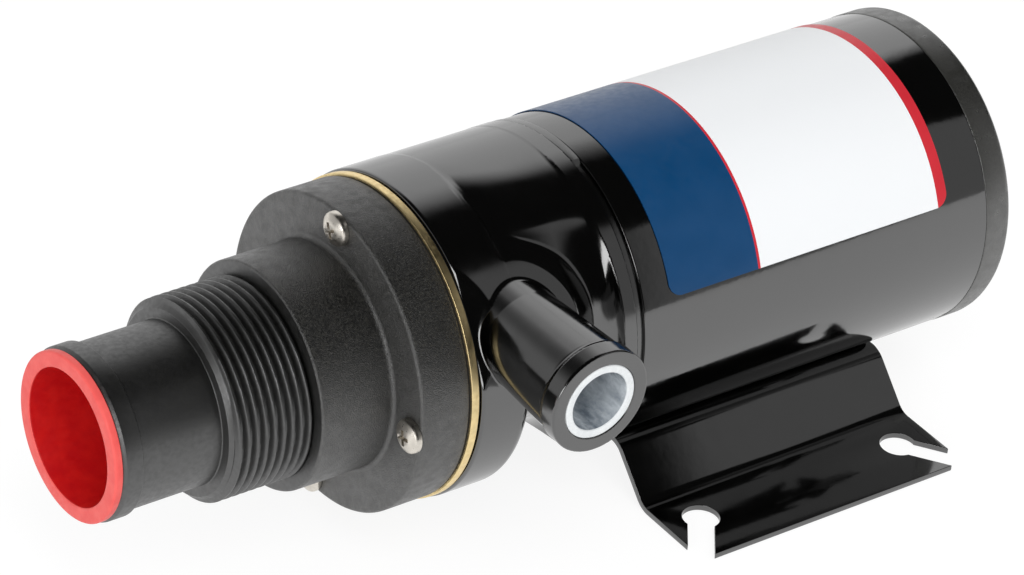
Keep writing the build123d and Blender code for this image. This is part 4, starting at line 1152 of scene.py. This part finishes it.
def studio_world():
    """White backdrop low down behind the object, a grey screen to the front right, dark overhead.

    The numbers in the ramps are parts of the unit vector that points the way a reflection goes.
    """
    screen_level, least_level, soft_light, backdrop_level = 0.34, 0.012, 0.6, 1.1
    world = bpy.data.worlds.new("studio")
    world.use_nodes = True
    tree = world.node_tree
    tree.nodes.clear()

    def node(kind, **values):
        return add_node(tree, kind, **values)

    def ramp(value, low, high, out_low=0.0, out_high=1.0):
        made = node("ShaderNodeMapRange", interpolation_type="SMOOTHSTEP")
        set_inputs(made, From_Min=low, From_Max=high, To_Min=out_low, To_Max=out_high)
        tree.links.new(value, made.inputs["Value"])
        return made.outputs["Result"]

    def combine(kind, *values):
        made = node("ShaderNodeMath", operation=kind)
        for socket, value in zip(made.inputs, values):
            if isinstance(value, float):
                socket.default_value = value
            else:
                tree.links.new(value, socket)
        return made.outputs[0]

    split = node("ShaderNodeSeparateXYZ")
    tree.links.new(node("ShaderNodeTexCoord").outputs["Generated"], split.inputs[0])
    x, y, z = split.outputs
    # The backdrop stands behind the object and reaches less high towards -X
    behind = combine("ADD", combine("MULTIPLY", y, 0.85), combine("MULTIPLY", x, -0.5))
    raised = combine("SUBTRACT", z, combine("MULTIPLY", combine("MINIMUM", x, 0.0), 0.4))
    low_part = ramp(raised, 0.62, 0.87, backdrop_level, 0.0)
    far = combine("MULTIPLY", low_part, ramp(x, -0.45, 0.1, 0.45, 1.0))
    backdrop = combine("MULTIPLY", ramp(behind, -0.05, 0.1), far)
    in_front = combine("MULTIPLY", ramp(y, -0.37, -0.33, 1.0, 0.0), ramp(z, 0.72, 0.76, 1.0, 0.0))
    screen = combine("MULTIPLY", in_front, ramp(x, 0.34, 0.46, 0.0, screen_level))
    below = ramp(z, -0.1, -0.02, 1.0, 0.0)
    level = combine("MAXIMUM", combine("MAXIMUM", backdrop, screen), below)
    level = combine("MAXIMUM", level, least_level)
    # Soft light falls evenly from all around, and the camera sees white
    path = node("ShaderNodeLightPath")
    even = combine("MULTIPLY", path.outputs["Is Diffuse Ray"], soft_light)
    mirrored = combine("SUBTRACT", 1.0, path.outputs["Is Diffuse Ray"])
    level = combine("ADD", combine("MULTIPLY", level, mirrored), even)
    level = combine("MAXIMUM", level, path.outputs["Is Camera Ray"])
    background = node("ShaderNodeBackground")
    set_inputs(background, Color=(1.0, 1.0, 1.0, 1.0))
    tree.links.new(level, background.inputs["Strength"])
    out = node("ShaderNodeOutputWorld")
    tree.links.new(background.outputs[0], out.inputs[0])
    bpy.context.scene.world = world


def lamp(name, place, aim, size, power):
    """A rectangular lamp that points at a place, all in metres and watts."""
    data = bpy.data.lights.new(name, "AREA")
    data.shape = "RECTANGLE"
    data.size, data.size_y = size
    data.energy = power
    obj = bpy.data.objects.new(name, data)
    bpy.context.scene.collection.objects.link(obj)
    obj.location = place
    away = Vector(place) - Vector(aim)
    obj.rotation_euler = away.to_track_quat("Z", "Y").to_euler()
    return obj


def stage_and_light():
    """The floor, the world and two lamps."""
    bpy.context.scene.view_settings.view_transform = "Standard"
    bpy.ops.mesh.primitive_plane_add(size=8.0, location=(0.0, 0.0, -0.0002))
    floor = bpy.context.object
    floor.name = "floor"
    dress(floor, stage_material("floor_white", (0.93, 0.93, 0.93)))
    studio_world()
    lamp("left", (-1.35, -0.66, 0.42), (-0.05, 0.0, 0.05), size=(1.1, 0.5), power=6.5)
    fill = lamp("fill", (-0.4, -0.9, 1.2), (0.0, 0.0, 0.04), size=(0.9, 0.9), power=8.0)
    fill.visible_glossy = False


inlet_plug()
inlet_cover()
cover_screws()
wear_plate()
pump_housing()
outlet_plug()
end_bell()
motor_case()
label()
end_cap()
base_bracket()
stage_and_light()
